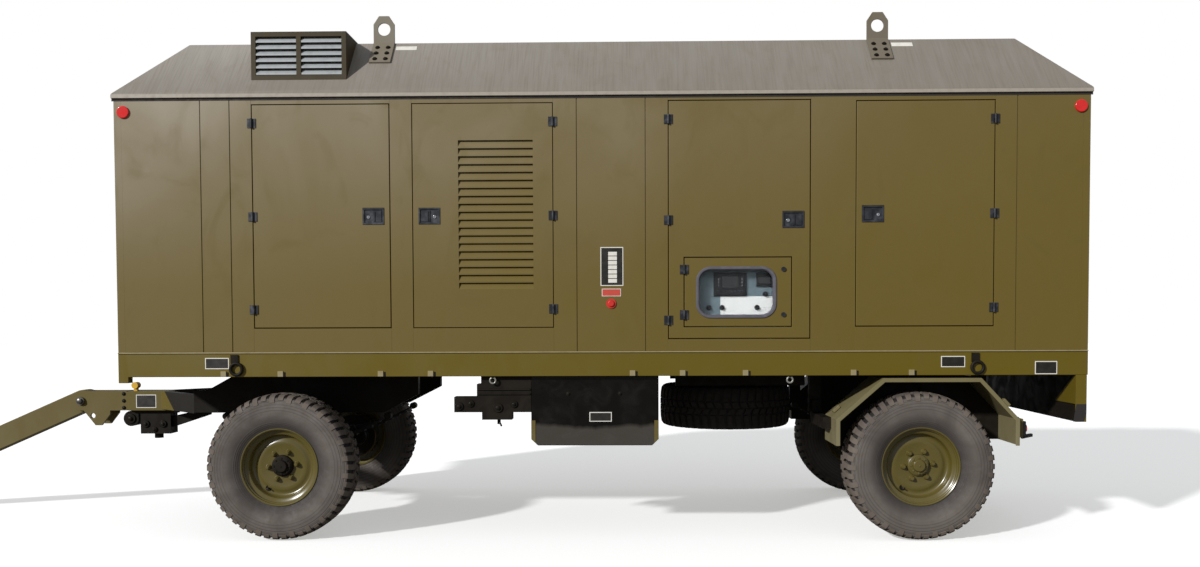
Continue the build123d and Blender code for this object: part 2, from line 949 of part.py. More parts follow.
with BuildPart() as rear_springs:
    leaf_springs(rear_axle_x)
save(rear_springs, "rear_springs")

with BuildPart() as rear_hangers:
    for end in (-1, 1):
        for y in (-spring_half_gauge, spring_half_gauge):
            hanger(rear_axle_x + end * spring_half_span, y, rail_bottom)
save(rear_hangers, "rear_hangers")

with BuildPart() as front_axle:
    axle(front_axle_x)
save(front_axle, "front_axle")

with BuildPart() as front_springs:
    leaf_springs(front_axle_x)
save(front_springs, "front_springs")

# Turntable: the upper ring is fixed under the rails, the lower one turns with the front axle
ring_bottom = turntable_top + ring_thickness + running_gap
with BuildPart() as turntable_upper:
    post(front_axle_x, 0, ring_radius, ring_bottom, rail_bottom)
    post(front_axle_x, 0, ring_bore, ring_bottom, rail_bottom, Mode.SUBTRACT)
save(turntable_upper, "turntable_upper")

with BuildPart() as turntable_ring:
    post(front_axle_x, 0, ring_radius, turntable_top, turntable_top + ring_thickness)
    post(front_axle_x, 0, ring_bore, turntable_top, turntable_top + ring_thickness, Mode.SUBTRACT)
save(turntable_ring, "turntable_ring")

# Turntable frame: two deep rails, bevelled at the rear, with spring hangers and two cross members
rail_front = front_axle_x + turntable_front
rail_rear = front_axle_x + turntable_rear
hanger_clear = spring_eye_height + spring_eye_radius
with BuildPart() as turntable_frame:
    for y in (-spring_half_gauge, spring_half_gauge):
        slab(
            (
                (rail_front, hanger_clear),
                (rail_front, arm_top),
                (rail_front + arm_flat, arm_top),
                (rail_front + arm_rise, turntable_top),
                (rail_rear, turntable_top),
                (rail_rear, rail_tail),
                (rail_rear - rail_bevel, hanger_clear),
            ),
            y - turntable_rail_width / 2,
            y + turntable_rail_width / 2,
        )
    for x in (front_axle_x - cross_member_reach, front_axle_x + cross_member_reach):
        block(
            (x - cross_member_half, x + cross_member_half),
            (-spring_half_gauge, spring_half_gauge),
            (turntable_top - cross_member_depth, turntable_top),
        )
save(turntable_frame, "turntable_frame")

# Drawbar frame: two arms that run together into a nose box with a sloped back
arm_half = turntable_rail_width / 2
with BuildPart() as drawbar_frame:
    for out in (-1, 1):
        with BuildSketch(ground.offset(arm_bottom)):
            Polygon(
                (rail_front, out * (spring_half_gauge + arm_half)),
                (rail_front, out * (spring_half_gauge - arm_half)),
                (nose_slope_top - arm_root, out * arm_tip_inner),
                (nose_slope_top - arm_root, out * (nose_half_width - arm_tip_step)),
                align=None,
            )
        extrude(amount=arm_depth)
    slab(
        (
            (nose_front + flange_joint, nose_bottom),
            (nose_front + flange_joint, nose_top),
            (nose_slope_top, nose_top),
            (nose_slope_bottom, nose_bottom),
        ),
        -nose_half_width,
        nose_half_width,
    )
    block(
        (nose_front, nose_front + flange_joint),
        (-nose_half_width + flange_inset, nose_half_width - flange_inset),
        (nose_bottom + flange_lip, nose_top - flange_lip),
    )
save(drawbar_frame, "drawbar_frame")

# Drawbar head: a box bolted to the nose, ending in two rounded cheeks with lower lobes
with BuildPart() as drawbar_head:
    block(
        (pivot_x + head_slot_depth, nose_front),
        (-head_half_width, head_half_width),
        (nose_bottom, nose_top),
    )
    near_cheek = (-head_half_width, -head_half_width + cheek)
    far_cheek = (head_half_width - cheek, head_half_width)
    for low, high in (near_cheek, far_cheek):
        block((pivot_x, pivot_x + head_slot_depth), (low, high), (nose_bottom, nose_top))
        rod(pivot_x, pivot_z, knuckle_radius, low, high)
        slab(
            (
                (pivot_x + lobe_front, nose_bottom),
                (pivot_x + lobe_toe, nose_bottom - lobe_drop),
                (pivot_x + lobe_heel, nose_bottom - lobe_drop),
                (pivot_x + lobe_rear, nose_bottom - lobe_rear_drop),
                (pivot_x + lobe_rear, nose_bottom),
            ),
            low,
            high,
        )
        rod(pivot_x + lobe_hole_offset, nose_bottom - lobe_hole_drop, lobe_hole, low, high, Mode.SUBTRACT)
    pin_reach = head_half_width + pin_end
    rod(pivot_x, pivot_z, pin_radius, -pin_reach, pin_reach)
    for low, high in ((-pin_reach, -head_half_width), (head_half_width, pin_reach)):
        rod(pivot_x, pivot_z, pin_head, low, high)
save(drawbar_head, "drawbar_head")

# Brake unit below the nose: a roller housing, a valve block with its stud and a rod back to the frame
with BuildPart() as brake_unit:
    roller_x = nose_front + roller_inset
    roller_y = (-roller_half_width, roller_half_width)
    plate_bottom = nose_bottom - brake_plate
    block((roller_x, nose_slope_top + brake_plate_reach), roller_y, (plate_bottom, nose_bottom))
    rod(roller_x, roller_z, roller_radius, -roller_half_width, roller_half_width)
    block((roller_x, roller_x + roller_arm), roller_y, (roller_z, nose_bottom))
    block(valve_block_xs, (-valve_block_half, valve_block_half), (valve_block_bottom, plate_bottom))
    post(stud_x, 0, brake_stud_radius, valve_block_bottom - brake_stud_length, valve_block_bottom)
save(brake_unit, "brake_unit")

# Air coupling on the nose, for the hose to the truck
with BuildPart() as air_coupling:
    block(
        (coupling_x - coupling_half, coupling_x + coupling_half),
        (coupling_y - coupling_half, coupling_y + coupling_half),
        (nose_top, nose_top + coupling_stand),
    )
    coupling_ends = (coupling_y - coupling_reach, coupling_y + coupling_reach)
    rod(coupling_x, nose_top + coupling_stand, coupling_radius, *coupling_ends)
save(air_coupling, "air_coupling")

# Drawbar shaft and towing eye, tilted down so that the eye rests on the ground
shaft_plane = Plane(
    origin=(mid + pivot_x, 0, pivot_z),
    x_dir=(-cos(tilt), 0, -sin(tilt)),
    z_dir=(0, 1, 0),
)
shaft_length = eye_reach - eye_stem
with BuildPart() as drawbar_shaft:
    with BuildSketch(shaft_plane):
        with BuildLine():
            ThreePointArc((0, shaft_height / 2), (-shaft_height / 2, 0), (0, -shaft_height / 2))
            Polyline(
                (0, -shaft_height / 2),
                (shaft_length - shaft_taper, -shaft_height / 2),
                (shaft_length, -eye_shank - shaft_end_step),
                (shaft_length, eye_shank + shaft_end_step),
                (shaft_length - shaft_taper, shaft_height / 2),
                (0, shaft_height / 2),
            )
        make_face()
    extrude(amount=shaft_width / 2, both=True)
    with BuildSketch(shaft_plane):
        Circle(pin_radius + pin_clearance)
    extrude(amount=shaft_width, both=True, mode=Mode.SUBTRACT)
save(drawbar_shaft, "drawbar_shaft")

eye_plane = Plane(
    origin=(mid + pivot_x - eye_reach * cos(tilt), 0, eye_z),
    x_dir=(-cos(tilt), 0, -sin(tilt)),
    z_dir=(-sin(tilt), 0, cos(tilt)),
)
stem_plane = Plane(origin=eye_plane.origin, x_dir=(0, 1, 0), z_dir=(cos(tilt), 0, sin(tilt)))
with BuildPart() as towing_eye:
    stem_start = eye_bore + eye_root
    with BuildSketch(stem_plane.offset(stem_start)):
        Circle(eye_thickness / 2)
    extrude(amount=eye_stem - stem_start)
    with BuildSketch(stem_plane.offset(eye_stem - eye_collar)):
        Circle(eye_shank + eye_collar_step)
    extrude(amount=eye_collar)
    with BuildSketch(eye_plane):
        Circle(eye_outer)
    extrude(amount=eye_thickness / 2, both=True)
    with BuildSketch(eye_plane):
        Circle(eye_bore)
    extrude(amount=eye_thickness, both=True, mode=Mode.SUBTRACT)
save(towing_eye, "towing_eye")

# Spare wheel slung flat under the frame on a spindle between two cradle bars
spare_centre = (mid + spare_x, 0, spare_bottom + tyre_width / 2)
spare_section = Plane(origin=spare_centre, x_dir=(0, 0, 1), z_dir=(0, 1, 0))
spare_spin = Axis(spare_centre, (0, 0, 1))
with BuildPart() as spare_tyre:
    with BuildSketch(spare_section):
        tyre_section()
    revolve(axis=spare_spin)
save(spare_tyre, "spare_tyre")

with BuildPart() as spare_rim:
    with BuildSketch(spare_section):
        half = rim_width / 2
        disc = -half + disc_setback
        well = bead_radius - well_drop
        with BuildLine():
            Polyline(
                (half, flange_radius),
                (half, flange_radius - barrel_wall),
                (half - gutter_inset, well),
                (disc, well),
                (disc, hub_radius),
                (disc - disc_thickness, hub_radius),
                (disc - disc_thickness, well),
                (-half + gutter_inset, well),
                (-half, flange_radius - barrel_wall),
                (-half, flange_radius),
                (-half + flange_width, flange_radius),
                (-half + seat_inset, bead_radius - seat_gap),
                (half - seat_inset, bead_radius - seat_gap),
                (half - flange_width, flange_radius),
                (half, flange_radius),
            )
        make_face()
    revolve(axis=spare_spin)
save(spare_rim, "spare_rim")

with BuildPart() as spare_carrier:
    disc_top = spare_centre[2] - rim_width / 2 + disc_setback
    disc_bottom = disc_top - disc_thickness
    cradle_top = rail_bottom - cross_beam_depth
    inner_half = rail_half_gauge - cradle_width / 2
    for side_y in ((-inner_half - cradle_width, -inner_half), (inner_half, inner_half + cradle_width)):
        block(cradle_xs, side_y, (cradle_top - cradle_drop, cradle_top))
    tie_x = (spare_x - cross_beam_width / 2, spare_x + cross_beam_width / 2)
    block(tie_x, (-inner_half, inner_half), (cradle_top - cradle_tie, cradle_top))
    post(spare_x, 0, spindle_radius, disc_top - spindle_below, cradle_top)
    post(spare_x, 0, hub_radius + clamp_upper_step, disc_top, disc_top + clamp_plate)
    post(spare_x, 0, hub_radius + clamp_lower_step, disc_bottom - clamp_plate, disc_bottom)
save(spare_carrier, "spare_carrier")


# Rear mudguards: a folded sheet over each wheel with a lip along its outer edge, on inner stays
guard_front = rear_axle_x - guard_front_reach
guard_rear = rear_axle_x + guard_rear_reach


def guard_outline(inset):
    """Outline of the folded sheet, or of the space below it when inset is its thickness."""
    front, rear = guard_front + inset, guard_rear - inset
    knee, top = guard_knee - inset * guard_miter, frame_bottom - guard_drop - inset
    return [
        (front, guard_foot),
        (front, knee),
        (rear_axle_x - guard_top_front + inset * guard_miter, top),
        (rear_axle_x + guard_top_rear - inset * guard_miter, top),
        (rear, knee),
        (rear, guard_foot),
    ]


def fold(outer, inner):
    """Closed outline between an outer and an inner open outline."""
    return outer + inner[::-1]


with BuildPart() as rear_mudguards:
    slab(fold(guard_outline(0), guard_outline(guard_sheet)), -frame_half, -frame_half + guard_depth)
    slab(fold(guard_outline(0), guard_outline(guard_lip)), -frame_half, -frame_half + guard_sheet)
    mirror(about=Plane.XZ)
save(rear_mudguards, "rear_mudguards")

# A flat sheet closes each guard's inner side. Each stay runs inwards from the guard's end and rises
# against the outer face of the spring hanger.
hanger_face = spring_half_gauge + spring_width / 2
with BuildPart() as mudguard_stays:
    splash_y = -frame_half + guard_depth
    slab(guard_outline(0), splash_y, splash_y + splash_sheet)
    stay_z = (guard_knee - stay_depth, guard_knee)
    riser_z = (guard_knee - stay_depth, guard_knee + riser_height)
    riser_outer = hanger_face + stay_inward
    for x, end in ((guard_front, -1), (guard_rear, 1)):
        hanger_x = rear_axle_x + end * spring_half_span
        stay_x = sorted((x, x + end * stay_reach))
        riser_x = (min(stay_x[0], hanger_x - riser_half), max(stay_x[1], hanger_x + riser_half))
        block(stay_x, (-frame_half + guard_depth - stay_outward, -riser_outer), stay_z)
        block(riser_x, (-riser_outer, -hanger_face), riser_z)
    mirror(about=Plane.XZ)
save(mudguard_stays, "mudguard_stays")

# Rear end: a post and a triangular bracket on each side, the bumper bar between them and a sheet above it
with BuildPart() as rear_brackets:
    post_x = (half_length - rear_setback - rear_plate, half_length - rear_setback)
    block(post_x, (-frame_half, -frame_half + bracket_sheet), (bumper_bottom, frame_bottom))
    with BuildSketch(across.offset(post_x[0])):
        Polygon(
            (-frame_half, frame_bottom),
            (-frame_half + bracket_head, frame_bottom),
            (-frame_half + bracket_reach, bumper_top + bracket_toe),
            (-frame_half + bracket_reach, bumper_top),
            (-frame_half, bumper_top),
            align=None,
        )
    extrude(amount=bracket_sheet)
    mirror(about=Plane.XZ)
save(rear_brackets, "rear_brackets")

with BuildPart() as rear_bumper:
    bumper_y = (-frame_half + bracket_sheet, frame_half - bracket_sheet)
    bumper_front = post_x[0] + bracket_sheet
    block((bumper_front, post_x[1] - bumper_inset), bumper_y, (bumper_bottom, bumper_top))
    block((bumper_front, bumper_front + valance_sheet), bumper_y, (bumper_top, frame_bottom))
save(rear_bumper, "rear_bumper")

# Lashing points: a shackle block with a ring on the side beam, and small rings below it
with BuildPart() as lashing_points:
    for x in lashing_xs:
        lug_x = (x - lug_half, x + lug_half)
        block(lug_x, (-frame_half - lug_depth, -frame_half), (lug_bottom, lug_bottom + lug_height))
        ring_centre = (mid + x + ring_offset, -frame_half - ring_stand, lug_bottom - ring_drop)
        with Locations(ring_centre):
            Torus(ring_size, ring_bar, rotation=(90, 0, 0))
    for x in small_lashing_xs:
        tab_y = (-frame_half + tab_setback, -frame_half + tab_setback + 2 * tab_half)
        block((x - tab_half, x + tab_half), tab_y, (frame_bottom - tab_height, frame_bottom))
        ring_centre = (mid + x, -frame_half + tab_setback + tab_half, frame_bottom - small_ring_drop)
        with Locations(ring_centre):
            Torus(small_ring_size, small_ring_bar, rotation=(90, 0, 0))
    mirror(about=Plane.XZ)
save(lashing_points, "lashing_points")

print("housing middle", round(mid, 3), "reach", round(front_end, 1), round(rear_end, 1))
print("eye", round(mid + pivot_x - eye_reach * cos(tilt), 2), round(eye_z, 2), "tilt", degrees(tilt))
print("pivot", round(mid + pivot_x, 2), round(pivot_z, 2))
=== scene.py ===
"""Finishes, wheels, springs, latches and trim of a mobile diesel generator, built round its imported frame."""

import json
import logging
import math
from collections.abc import Iterable, Sequence
from dataclasses import dataclass, field
from enum import Enum

import bmesh
import bpy
from mathutils import Matrix, Vector


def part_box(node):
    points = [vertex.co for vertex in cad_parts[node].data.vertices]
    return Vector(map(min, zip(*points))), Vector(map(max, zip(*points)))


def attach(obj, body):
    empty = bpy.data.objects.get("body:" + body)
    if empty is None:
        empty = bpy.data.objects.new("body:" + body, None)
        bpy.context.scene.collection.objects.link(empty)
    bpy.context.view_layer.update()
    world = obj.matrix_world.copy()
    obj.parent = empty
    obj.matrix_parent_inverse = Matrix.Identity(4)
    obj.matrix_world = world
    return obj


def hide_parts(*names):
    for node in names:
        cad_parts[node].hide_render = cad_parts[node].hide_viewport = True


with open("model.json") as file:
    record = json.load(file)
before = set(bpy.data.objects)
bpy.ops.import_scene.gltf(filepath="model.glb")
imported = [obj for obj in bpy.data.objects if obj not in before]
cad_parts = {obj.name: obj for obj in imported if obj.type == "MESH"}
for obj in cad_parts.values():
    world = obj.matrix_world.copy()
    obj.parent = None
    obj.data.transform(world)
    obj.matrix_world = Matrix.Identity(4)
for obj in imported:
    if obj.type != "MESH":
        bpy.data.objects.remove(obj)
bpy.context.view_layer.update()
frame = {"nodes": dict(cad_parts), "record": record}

LOG = logging.getLogger("generator")
Point = tuple[float, float]
Corner = tuple[float, float, float]


# Colours and nodes
def linear(colour: str) -> tuple[float, float, float, float]:
    """Turn an sRGB hex colour into linear light.

    Args:
        colour: Six hex digits after a hash.

    Returns:
        Red, green, blue and an opacity of 1.
    """
    shares = [int(colour[place : place + 2], 16) / 255 for place in (1, 3, 5)]
    return (*[s / 12.92 if s <= 0.04045 else ((s + 0.055) / 1.055) ** 2.4 for s in shares], 1.0)


def add(tree: bpy.types.NodeTree, kind: str, inputs: dict | None = None, **settings: object) -> bpy.types.Node:
    """Add a node with its settings, values and links.

    Args:
        tree: The tree that takes the node.
        kind: The node's type name.
        inputs: A value or an output socket for each named or numbered input.
        settings: The node's own properties.

    Returns:
        The new node.
    """
    node = tree.nodes.new(kind)
    for name, value in settings.items():
        setattr(node, name, value)
    for name, value in (inputs or {}).items():
        if isinstance(value, bpy.types.NodeSocket):
            tree.links.new(value, node.inputs[name])
        else:
            node.inputs[name].default_value = value
    return node


@dataclass(frozen=True)
class Finish:
    """What a surface is made of, and how that was finished."""

    name: str

    def material(self) -> bpy.types.Material:
        """Make the finish's material, or give the one made before.

        Returns:
            The Blender material.
        """
        made = bpy.data.materials.get(self.name)
        if made is None:
            made = bpy.data.materials.new(self.name)
            made.use_nodes = True
            made.node_tree.nodes.clear()
            shader = add(made.node_tree, "ShaderNodeBsdfPrincipled")
            add(made.node_tree, "ShaderNodeOutputMaterial", {"Surface": shader.outputs["BSDF"]})
            self.dress(made.node_tree, shader)
        return made

    def dress(self, tree: bpy.types.NodeTree, shader: bpy.types.Node) -> None:
        """Set the shader up; each finish has its own way.

        Args:
            tree: The material's node tree.
            shader: Its principled shader.
        """
        raise NotImplementedError


def noise(
    tree: bpy.types.NodeTree, size_mm: float, stretch: Corner = (1, 1, 1), detail: float = 3.0, warp: float = 0.0
) -> bpy.types.NodeSocket:
    """Add a cloudy pattern that is fixed to the piece.

    Args:
        tree: The tree that takes the nodes.
        size_mm: The size of one cloud.
        stretch: How much denser the pattern is along each axis.
        detail: How many finer layers it has.
        warp: How far the clouds are bent.

    Returns:
        The pattern's factor, about 0.5 on average.
    """
    coords = add(tree, "ShaderNodeTexCoord")
    placed = add(tree, "ShaderNodeMapping", {"Vector": coords.outputs["Object"], "Scale": stretch})
    clouds = add(
        tree,
        "ShaderNodeTexNoise",
        {"Vector": placed.outputs["Vector"], "Scale": 1000 / size_mm, "Detail": detail, "Distortion": warp},
    )
    return clouds.outputs["Fac"]


def spread(
    tree: bpy.types.NodeTree, value: bpy.types.NodeSocket, low: float, high: float, start: float, end: float
) -> bpy.types.NodeSocket:
    """Map a value's range to another one, held at its ends.

    Args:
        tree: The tree that takes the node.
        value: The socket to map.
        low: The value that gives start.
        high: The value that gives end.
        start: The result at low.
        end: The result at high.

    Returns:
        The mapped value.
    """
    mapped = add(
        tree,
        "ShaderNodeMapRange",
        {"Value": value, "From Min": low, "From Max": high, "To Min": start, "To Max": end},
    )
    return mapped.outputs["Result"]


def blend(
    tree: bpy.types.NodeTree, share: bpy.types.NodeSocket | float, first: object, second: object
) -> bpy.types.NodeSocket:
    """Mix two colours.

    Args:
        tree: The tree that takes the node.
        share: How much of the second colour shows.
        first: A hex colour or a colour socket.
        second: A hex colour or a colour socket.

    Returns:
        The mixed colour.
    """
    mixed = add(tree, "ShaderNodeMix", {0: share}, data_type="RGBA")
    for place, colour in ((6, first), (7, second)):
        if isinstance(colour, str):
            mixed.inputs[place].default_value = linear(colour)
        else:
            tree.links.new(colour, mixed.inputs[place])
    return mixed.outputs[2]


def raised(tree: bpy.types.NodeTree, height: bpy.types.NodeSocket, depth_mm: float) -> bpy.types.NodeSocket:
    """Turn a pattern into relief.

    Args:
        tree: The tree that takes the node.
        height: The pattern.
        depth_mm: How deep the relief is.

    Returns:
        The bent surface normal.
    """
    relief = add(tree, "ShaderNodeBump", {"Height": height, "Distance": depth_mm / 1000, "Strength": 1.0})
    return relief.outputs["Normal"]


@dataclass(frozen=True)
class SprayedPaint(Finish):
    """Polyurethane paint sprayed on sheet steel: satin, with chalky clouds higher up and dust lower down."""

    colour: str = "#64541f"
    chalked: str = "#8f8470"
    stain: str = "#5d4f1c"
    dust: str = "#7d715a"
    chalk_from: float = 1.75
    chalk_to: float = 3.1
    chalk_most: float = 0.88
    faded_to: float = 3.6
    faded_least: float = 0.10
    dust_top: float = 1.0
    dust_most: float = 0.35
    roughness: float = 0.52
    sheen: float = 0.35
    streak_mm: float = 0.0
    streak_colour: str = "#5c5345"

    def dress(self, tree: bpy.types.NodeTree, shader: bpy.types.Node) -> None:
        """Mix the paint's clouds, stains, dust and streaks.

        Args:
            tree: The material's node tree.
            shader: Its principled shader.
        """
        coords = add(tree, "ShaderNodeTexCoord")
        place = add(tree, "ShaderNodeSeparateXYZ", {"Vector": coords.outputs["Object"]})
        height = place.outputs["Z"]
        clouds = noise(tree, 900, (1, 1, 0.7), 4, 0.8)
        patches = noise(tree, 260, (1, 1, 0.55), 5, 1.4)
        rise = spread(tree, height, self.chalk_from, self.chalk_to, 0.06, self.chalk_most)
        # Sun and rain have faded the front half more than the rear
        faded = spread(tree, place.outputs["X"], -1.9, self.faded_to, 1.0, self.faded_least)
        cloudy = spread(tree, clouds, 0.3, 0.7, 0.45, 1.45)
        steep = add(tree, "ShaderNodeMath", {0: rise, 1: 1.5}, operation="POWER").outputs[0]
        share = add(tree, "ShaderNodeMath", {0: steep, 1: faded}, operation="MULTIPLY").outputs[0]
        chalk = add(tree, "ShaderNodeMath", {0: share, 1: cloudy}, operation="MULTIPLY", use_clamp=True).outputs[0]
        colour = blend(tree, chalk, self.colour, self.chalked)
        colour = blend(tree, spread(tree, patches, 0.54, 0.74, 0.0, 0.34), colour, self.stain)
        if self.streak_mm:
            # Rain and dirt run down the slope in fine lines
            streaks = noise(tree, self.streak_mm, (1, 0.03, 0.03), 3)
            broad = noise(tree, self.streak_mm * 9, (1, 0.15, 0.15), 2)
            colour = blend(tree, spread(tree, streaks, 0.44, 0.72, 0.0, 0.40), colour, self.streak_colour)
            colour = blend(tree, spread(tree, broad, 0.45, 0.75, 0.0, 0.35), colour, self.dust)
        low = spread(tree, height, self.dust_top, 0.2, 0.0, self.dust_most)
        dusty = add(tree, "ShaderNodeMath", {0: low, 1: patches}, operation="MULTIPLY").outputs[0]
        colour = blend(tree, dusty, colour, self.dust)
        tree.links.new(colour, shader.inputs["Base Color"])
        rough = spread(tree, patches, 0.3, 0.7, self.roughness - 0.06, self.roughness + 0.10)
        tree.links.new(rough, shader.inputs["Roughness"])
        shader.inputs["Specular IOR Level"].default_value = self.sheen
        # Orange peel of about 4 mm, drawn at 14 mm so that it shows
        tree.links.new(raised(tree, noise(tree, 14, detail=1), 0.12), shader.inputs["Normal"])


@dataclass(frozen=True)
class ChassisEnamel(Finish):
    """Black enamel brushed on frame steel: dark and dull, with road dust in soft patches."""

    colour: str = "#1b1712"
    dust: str = "#2b261e"
    dust_most: float = 0.45
    roughness: float = 0.5
    sheen: float = 0.12
    # Height below which the foot is paler, as painted light
    painted_light_below: float = 0.0
    pale: str = "#47433d"

    def dress(self, tree: bpy.types.NodeTree, shader: bpy.types.Node) -> None:
        """Mix the enamel with its dust.

        Args:
            tree: The material's node tree.
            shader: Its principled shader.
        """
        patches = noise(tree, 120, detail=5, warp=0.8)
        dusty = spread(tree, patches, 0.48, 0.78, 0.0, self.dust_most)
        colour = blend(tree, dusty, self.colour, self.dust)
        if self.painted_light_below:
            # Painted light: the foot is paler up to a ragged line, standing in for sun below the skirt's shadow and the
            # floor's reflection
            spot = add(tree, "ShaderNodeTexCoord").outputs["Object"]
            height = add(tree, "ShaderNodeSeparateXYZ", {"Vector": spot}).outputs["Z"]
            ragged = spread(tree, noise(tree, 160, (1, 1, 0.2), 2), 0.3, 0.7, -0.018, 0.018)
            edge = add(tree, "ShaderNodeMath", {0: height, 1: ragged}, operation="ADD").outputs[0]
            foot = spread(tree, edge, self.painted_light_below - 0.02, self.painted_light_below + 0.01, 0.85, 0.0)
            colour = blend(tree, foot, colour, self.pale)
        tree.links.new(colour, shader.inputs["Base Color"])
        shader.inputs["Specular IOR Level"].default_value = self.sheen
        rough = spread(tree, patches, 0.4, 0.7, self.roughness - 0.1, self.roughness + 0.25)
        tree.links.new(rough, shader.inputs["Roughness"])
        tree.links.new(raised(tree, noise(tree, 9, detail=2), 0.25), shader.inputs["Normal"])


@dataclass(frozen=True)
class DustyRubber(Finish):
    """Vulcanised tread rubber that dust has turned grey-brown: dull, with scuffs in rings and patches."""

    colour: str = "#433c37"
    dust: str = "#67605a"
    mud: str = "#5f5547"
    roughness: float = 0.82
    axle: Corner = (0.0, 0.0, 0.0)
    bead: float = 0.285
    dark_band_to: float = 0.375
    ring_pitch: float = 0.021

    def dress(self, tree: bpy.types.NodeTree, shader: bpy.types.Node) -> None:
        """Mix the rubber with its dust and mud.

        Args:
            tree: The material's node tree.
            shader: Its principled shader.
        """
        fine = noise(tree, 30, detail=6, warp=0.5)
        broad = noise(tree, 320, detail=3, warp=1.0)
        colour = blend(tree, spread(tree, broad, 0.32, 0.68, 0.25, 0.95), self.colour, self.dust)
        colour = blend(tree, spread(tree, fine, 0.5, 0.8, 0.0, 0.55), colour, self.mud)
        if any(self.axle):
            # The wall is darker in a band next to the rim's flange
            spot = add(tree, "ShaderNodeTexCoord").outputs["Object"]
            reach = add(tree, "ShaderNodeVectorMath", {0: spot, 1: self.axle}, operation="DISTANCE").outputs["Value"]
            bead_band = spread(tree, reach, self.bead, self.dark_band_to, 0.85, 0.0)
            colour = blend(tree, bead_band, colour, "#2d2826")
            # Moulded rings catch the dirt on the outer half of the wall
            turns = add(tree, "ShaderNodeMath", {0: reach, 1: math.tau / self.ring_pitch}, operation="MULTIPLY")
            wave = add(tree, "ShaderNodeMath", {0: turns.outputs[0]}, operation="SINE").outputs[0]
            outer = spread(tree, reach, self.dark_band_to, self.dark_band_to + 0.03, 0.0, 1.0)
            ringed = add(tree, "ShaderNodeMath", {0: wave, 1: outer}, operation="MULTIPLY").outputs[0]
            colour = blend(tree, spread(tree, ringed, 0.1, 0.9, 0.0, 0.38), colour, "#332e2a")
        tree.links.new(colour, shader.inputs["Base Color"])
        tree.links.new(spread(tree, fine, 0.3, 0.7, self.roughness - 0.12, 0.95), shader.inputs["Roughness"])
        tree.links.new(raised(tree, fine, 0.8), shader.inputs["Normal"])


@dataclass(frozen=True)
class MouldedPart(Finish):
    """A small moulded, coated or turned part: one colour that handling has toned and dulled in places."""

    colour: str = "#17171a"
    worn: str = "#2b2c30"
    roughness: float = 0.45
    metallic: float = 0.0
    grain_mm: float = 3.0
    grain_depth_mm: float = 0.08
    coat: float = 0.0

    def dress(self, tree: bpy.types.NodeTree, shader: bpy.types.Node) -> None:
        """Set the part's tones and its fine grain.

        Args:
            tree: The material's node tree.
            shader: Its principled shader.
        """
        shader.inputs["Metallic"].default_value = self.metallic
        shader.inputs["Coat Weight"].default_value = self.coat
        clouds = noise(tree, 45, detail=4)
        worn = spread(tree, clouds, 0.45, 0.75, 0.0, 0.7)
        tree.links.new(blend(tree, worn, self.colour, self.worn), shader.inputs["Base Color"])
        rough = spread(tree, clouds, 0.3, 0.7, self.roughness - 0.08, self.roughness + 0.08)
        tree.links.new(rough, shader.inputs["Roughness"])
        grain = noise(tree, self.grain_mm, detail=1)
        tree.links.new(raised(tree, grain, self.grain_depth_mm), shader.inputs["Normal"])


@dataclass(frozen=True)
class ArmPaint(SprayedPaint):
    """Olive paint on the nose, which ends along its slope in the black enamel of the arms behind it."""

    black: str = "#1b1712"
    slope_top: Point = (-2.074, 0.986)
    slope_run: float = 0.885

    def dress(self, tree: bpy.types.NodeTree, shader: bpy.types.Node) -> None:
        """Mix the two paints on either side of the slope.

        Args:
            tree: The material's node tree.
            shader: Its principled shader.
        """
        super().dress(tree, shader)
        coords = add(tree, "ShaderNodeTexCoord")
        place = add(tree, "ShaderNodeSeparateXYZ", {"Vector": coords.outputs["Object"]})
        drop = add(tree, "ShaderNodeMath", {0: place.outputs["Z"], 1: self.slope_run}, operation="MULTIPLY").outputs[0]
        along = add(tree, "ShaderNodeMath", {0: place.outputs["X"], 1: drop}, operation="ADD").outputs[0]
        edge = self.slope_top[0] + self.slope_top[1] * self.slope_run
        behind = spread(tree, along, edge + 0.002, edge + 0.006, 0.0, 1.0)
        olive = shader.inputs["Base Color"].links[0].from_socket
        tree.links.new(blend(tree, behind, olive, self.black), shader.inputs["Base Color"])


@dataclass(frozen=True)
class ClearPane(Finish):
    """Toughened float glass: clear, a little dusty, with a hard reflection."""

    dust: float = 0.10

    def dress(self, tree: bpy.types.NodeTree, shader: bpy.types.Node) -> None:
        """Let light through, but for a film of dust.

        Args:
            tree: The material's node tree.
            shader: Its principled shader.
        """
        shader.inputs["IOR"].default_value = 1.3
        shader.inputs["Transmission Weight"].default_value = 1.0
        # Half of the light goes straight through, so that the sun reaches the panel
        shader.inputs["Alpha"].default_value = 0.4
        film = noise(tree, 90, detail=4)
        tree.links.new(spread(tree, film, 0.4, 0.8, 0.02, self.dust + 0.1), shader.inputs["Roughness"])
        tree.links.new(blend(tree, spread(tree, film, 0.3, 0.8, 0, 0.3), "#eef3f4", "#cfd6d6"), shader.inputs["Base Color"])


HOUSING_PAINT = SprayedPaint("olive_polyurethane_on_sheet_steel")
SKIRT_PAINT = SprayedPaint(
    "olive_polyurethane_on_frame_beams",
    colour="#61520f",
    chalked="#7a6e47",
    chalk_from=0.9,
    chalk_to=1.4,
    chalk_most=0.30,
    roughness=0.36,
)
ROOF_PAINT = SprayedPaint(
    "weathered_olive_on_roof_sheet",
    colour="#7d766c",
    chalked="#9b958c",
    stain="#746b5b",
    dust="#8a857d",
    chalk_from=2.9,
    chalk_to=3.5,
    roughness=0.38,
    streak_mm=9,
    streak_colour="#6c6358",
)
BOX_PAINT = SprayedPaint("olive_on_outlet_boxes", colour="#35290a", chalked="#41371c", chalk_most=0.3, roughness=0.6)
EYE_PAINT = SprayedPaint("olive_on_thick_plate", colour="#6c6455", chalked="#857d6f", roughness=0.45)
UNDER_PAINT = SprayedPaint(
    "olive_on_running_gear", colour="#5a4e18", chalked="#746a45", chalk_most=0.2, dust_top=1.2, dust_most=0.7
)
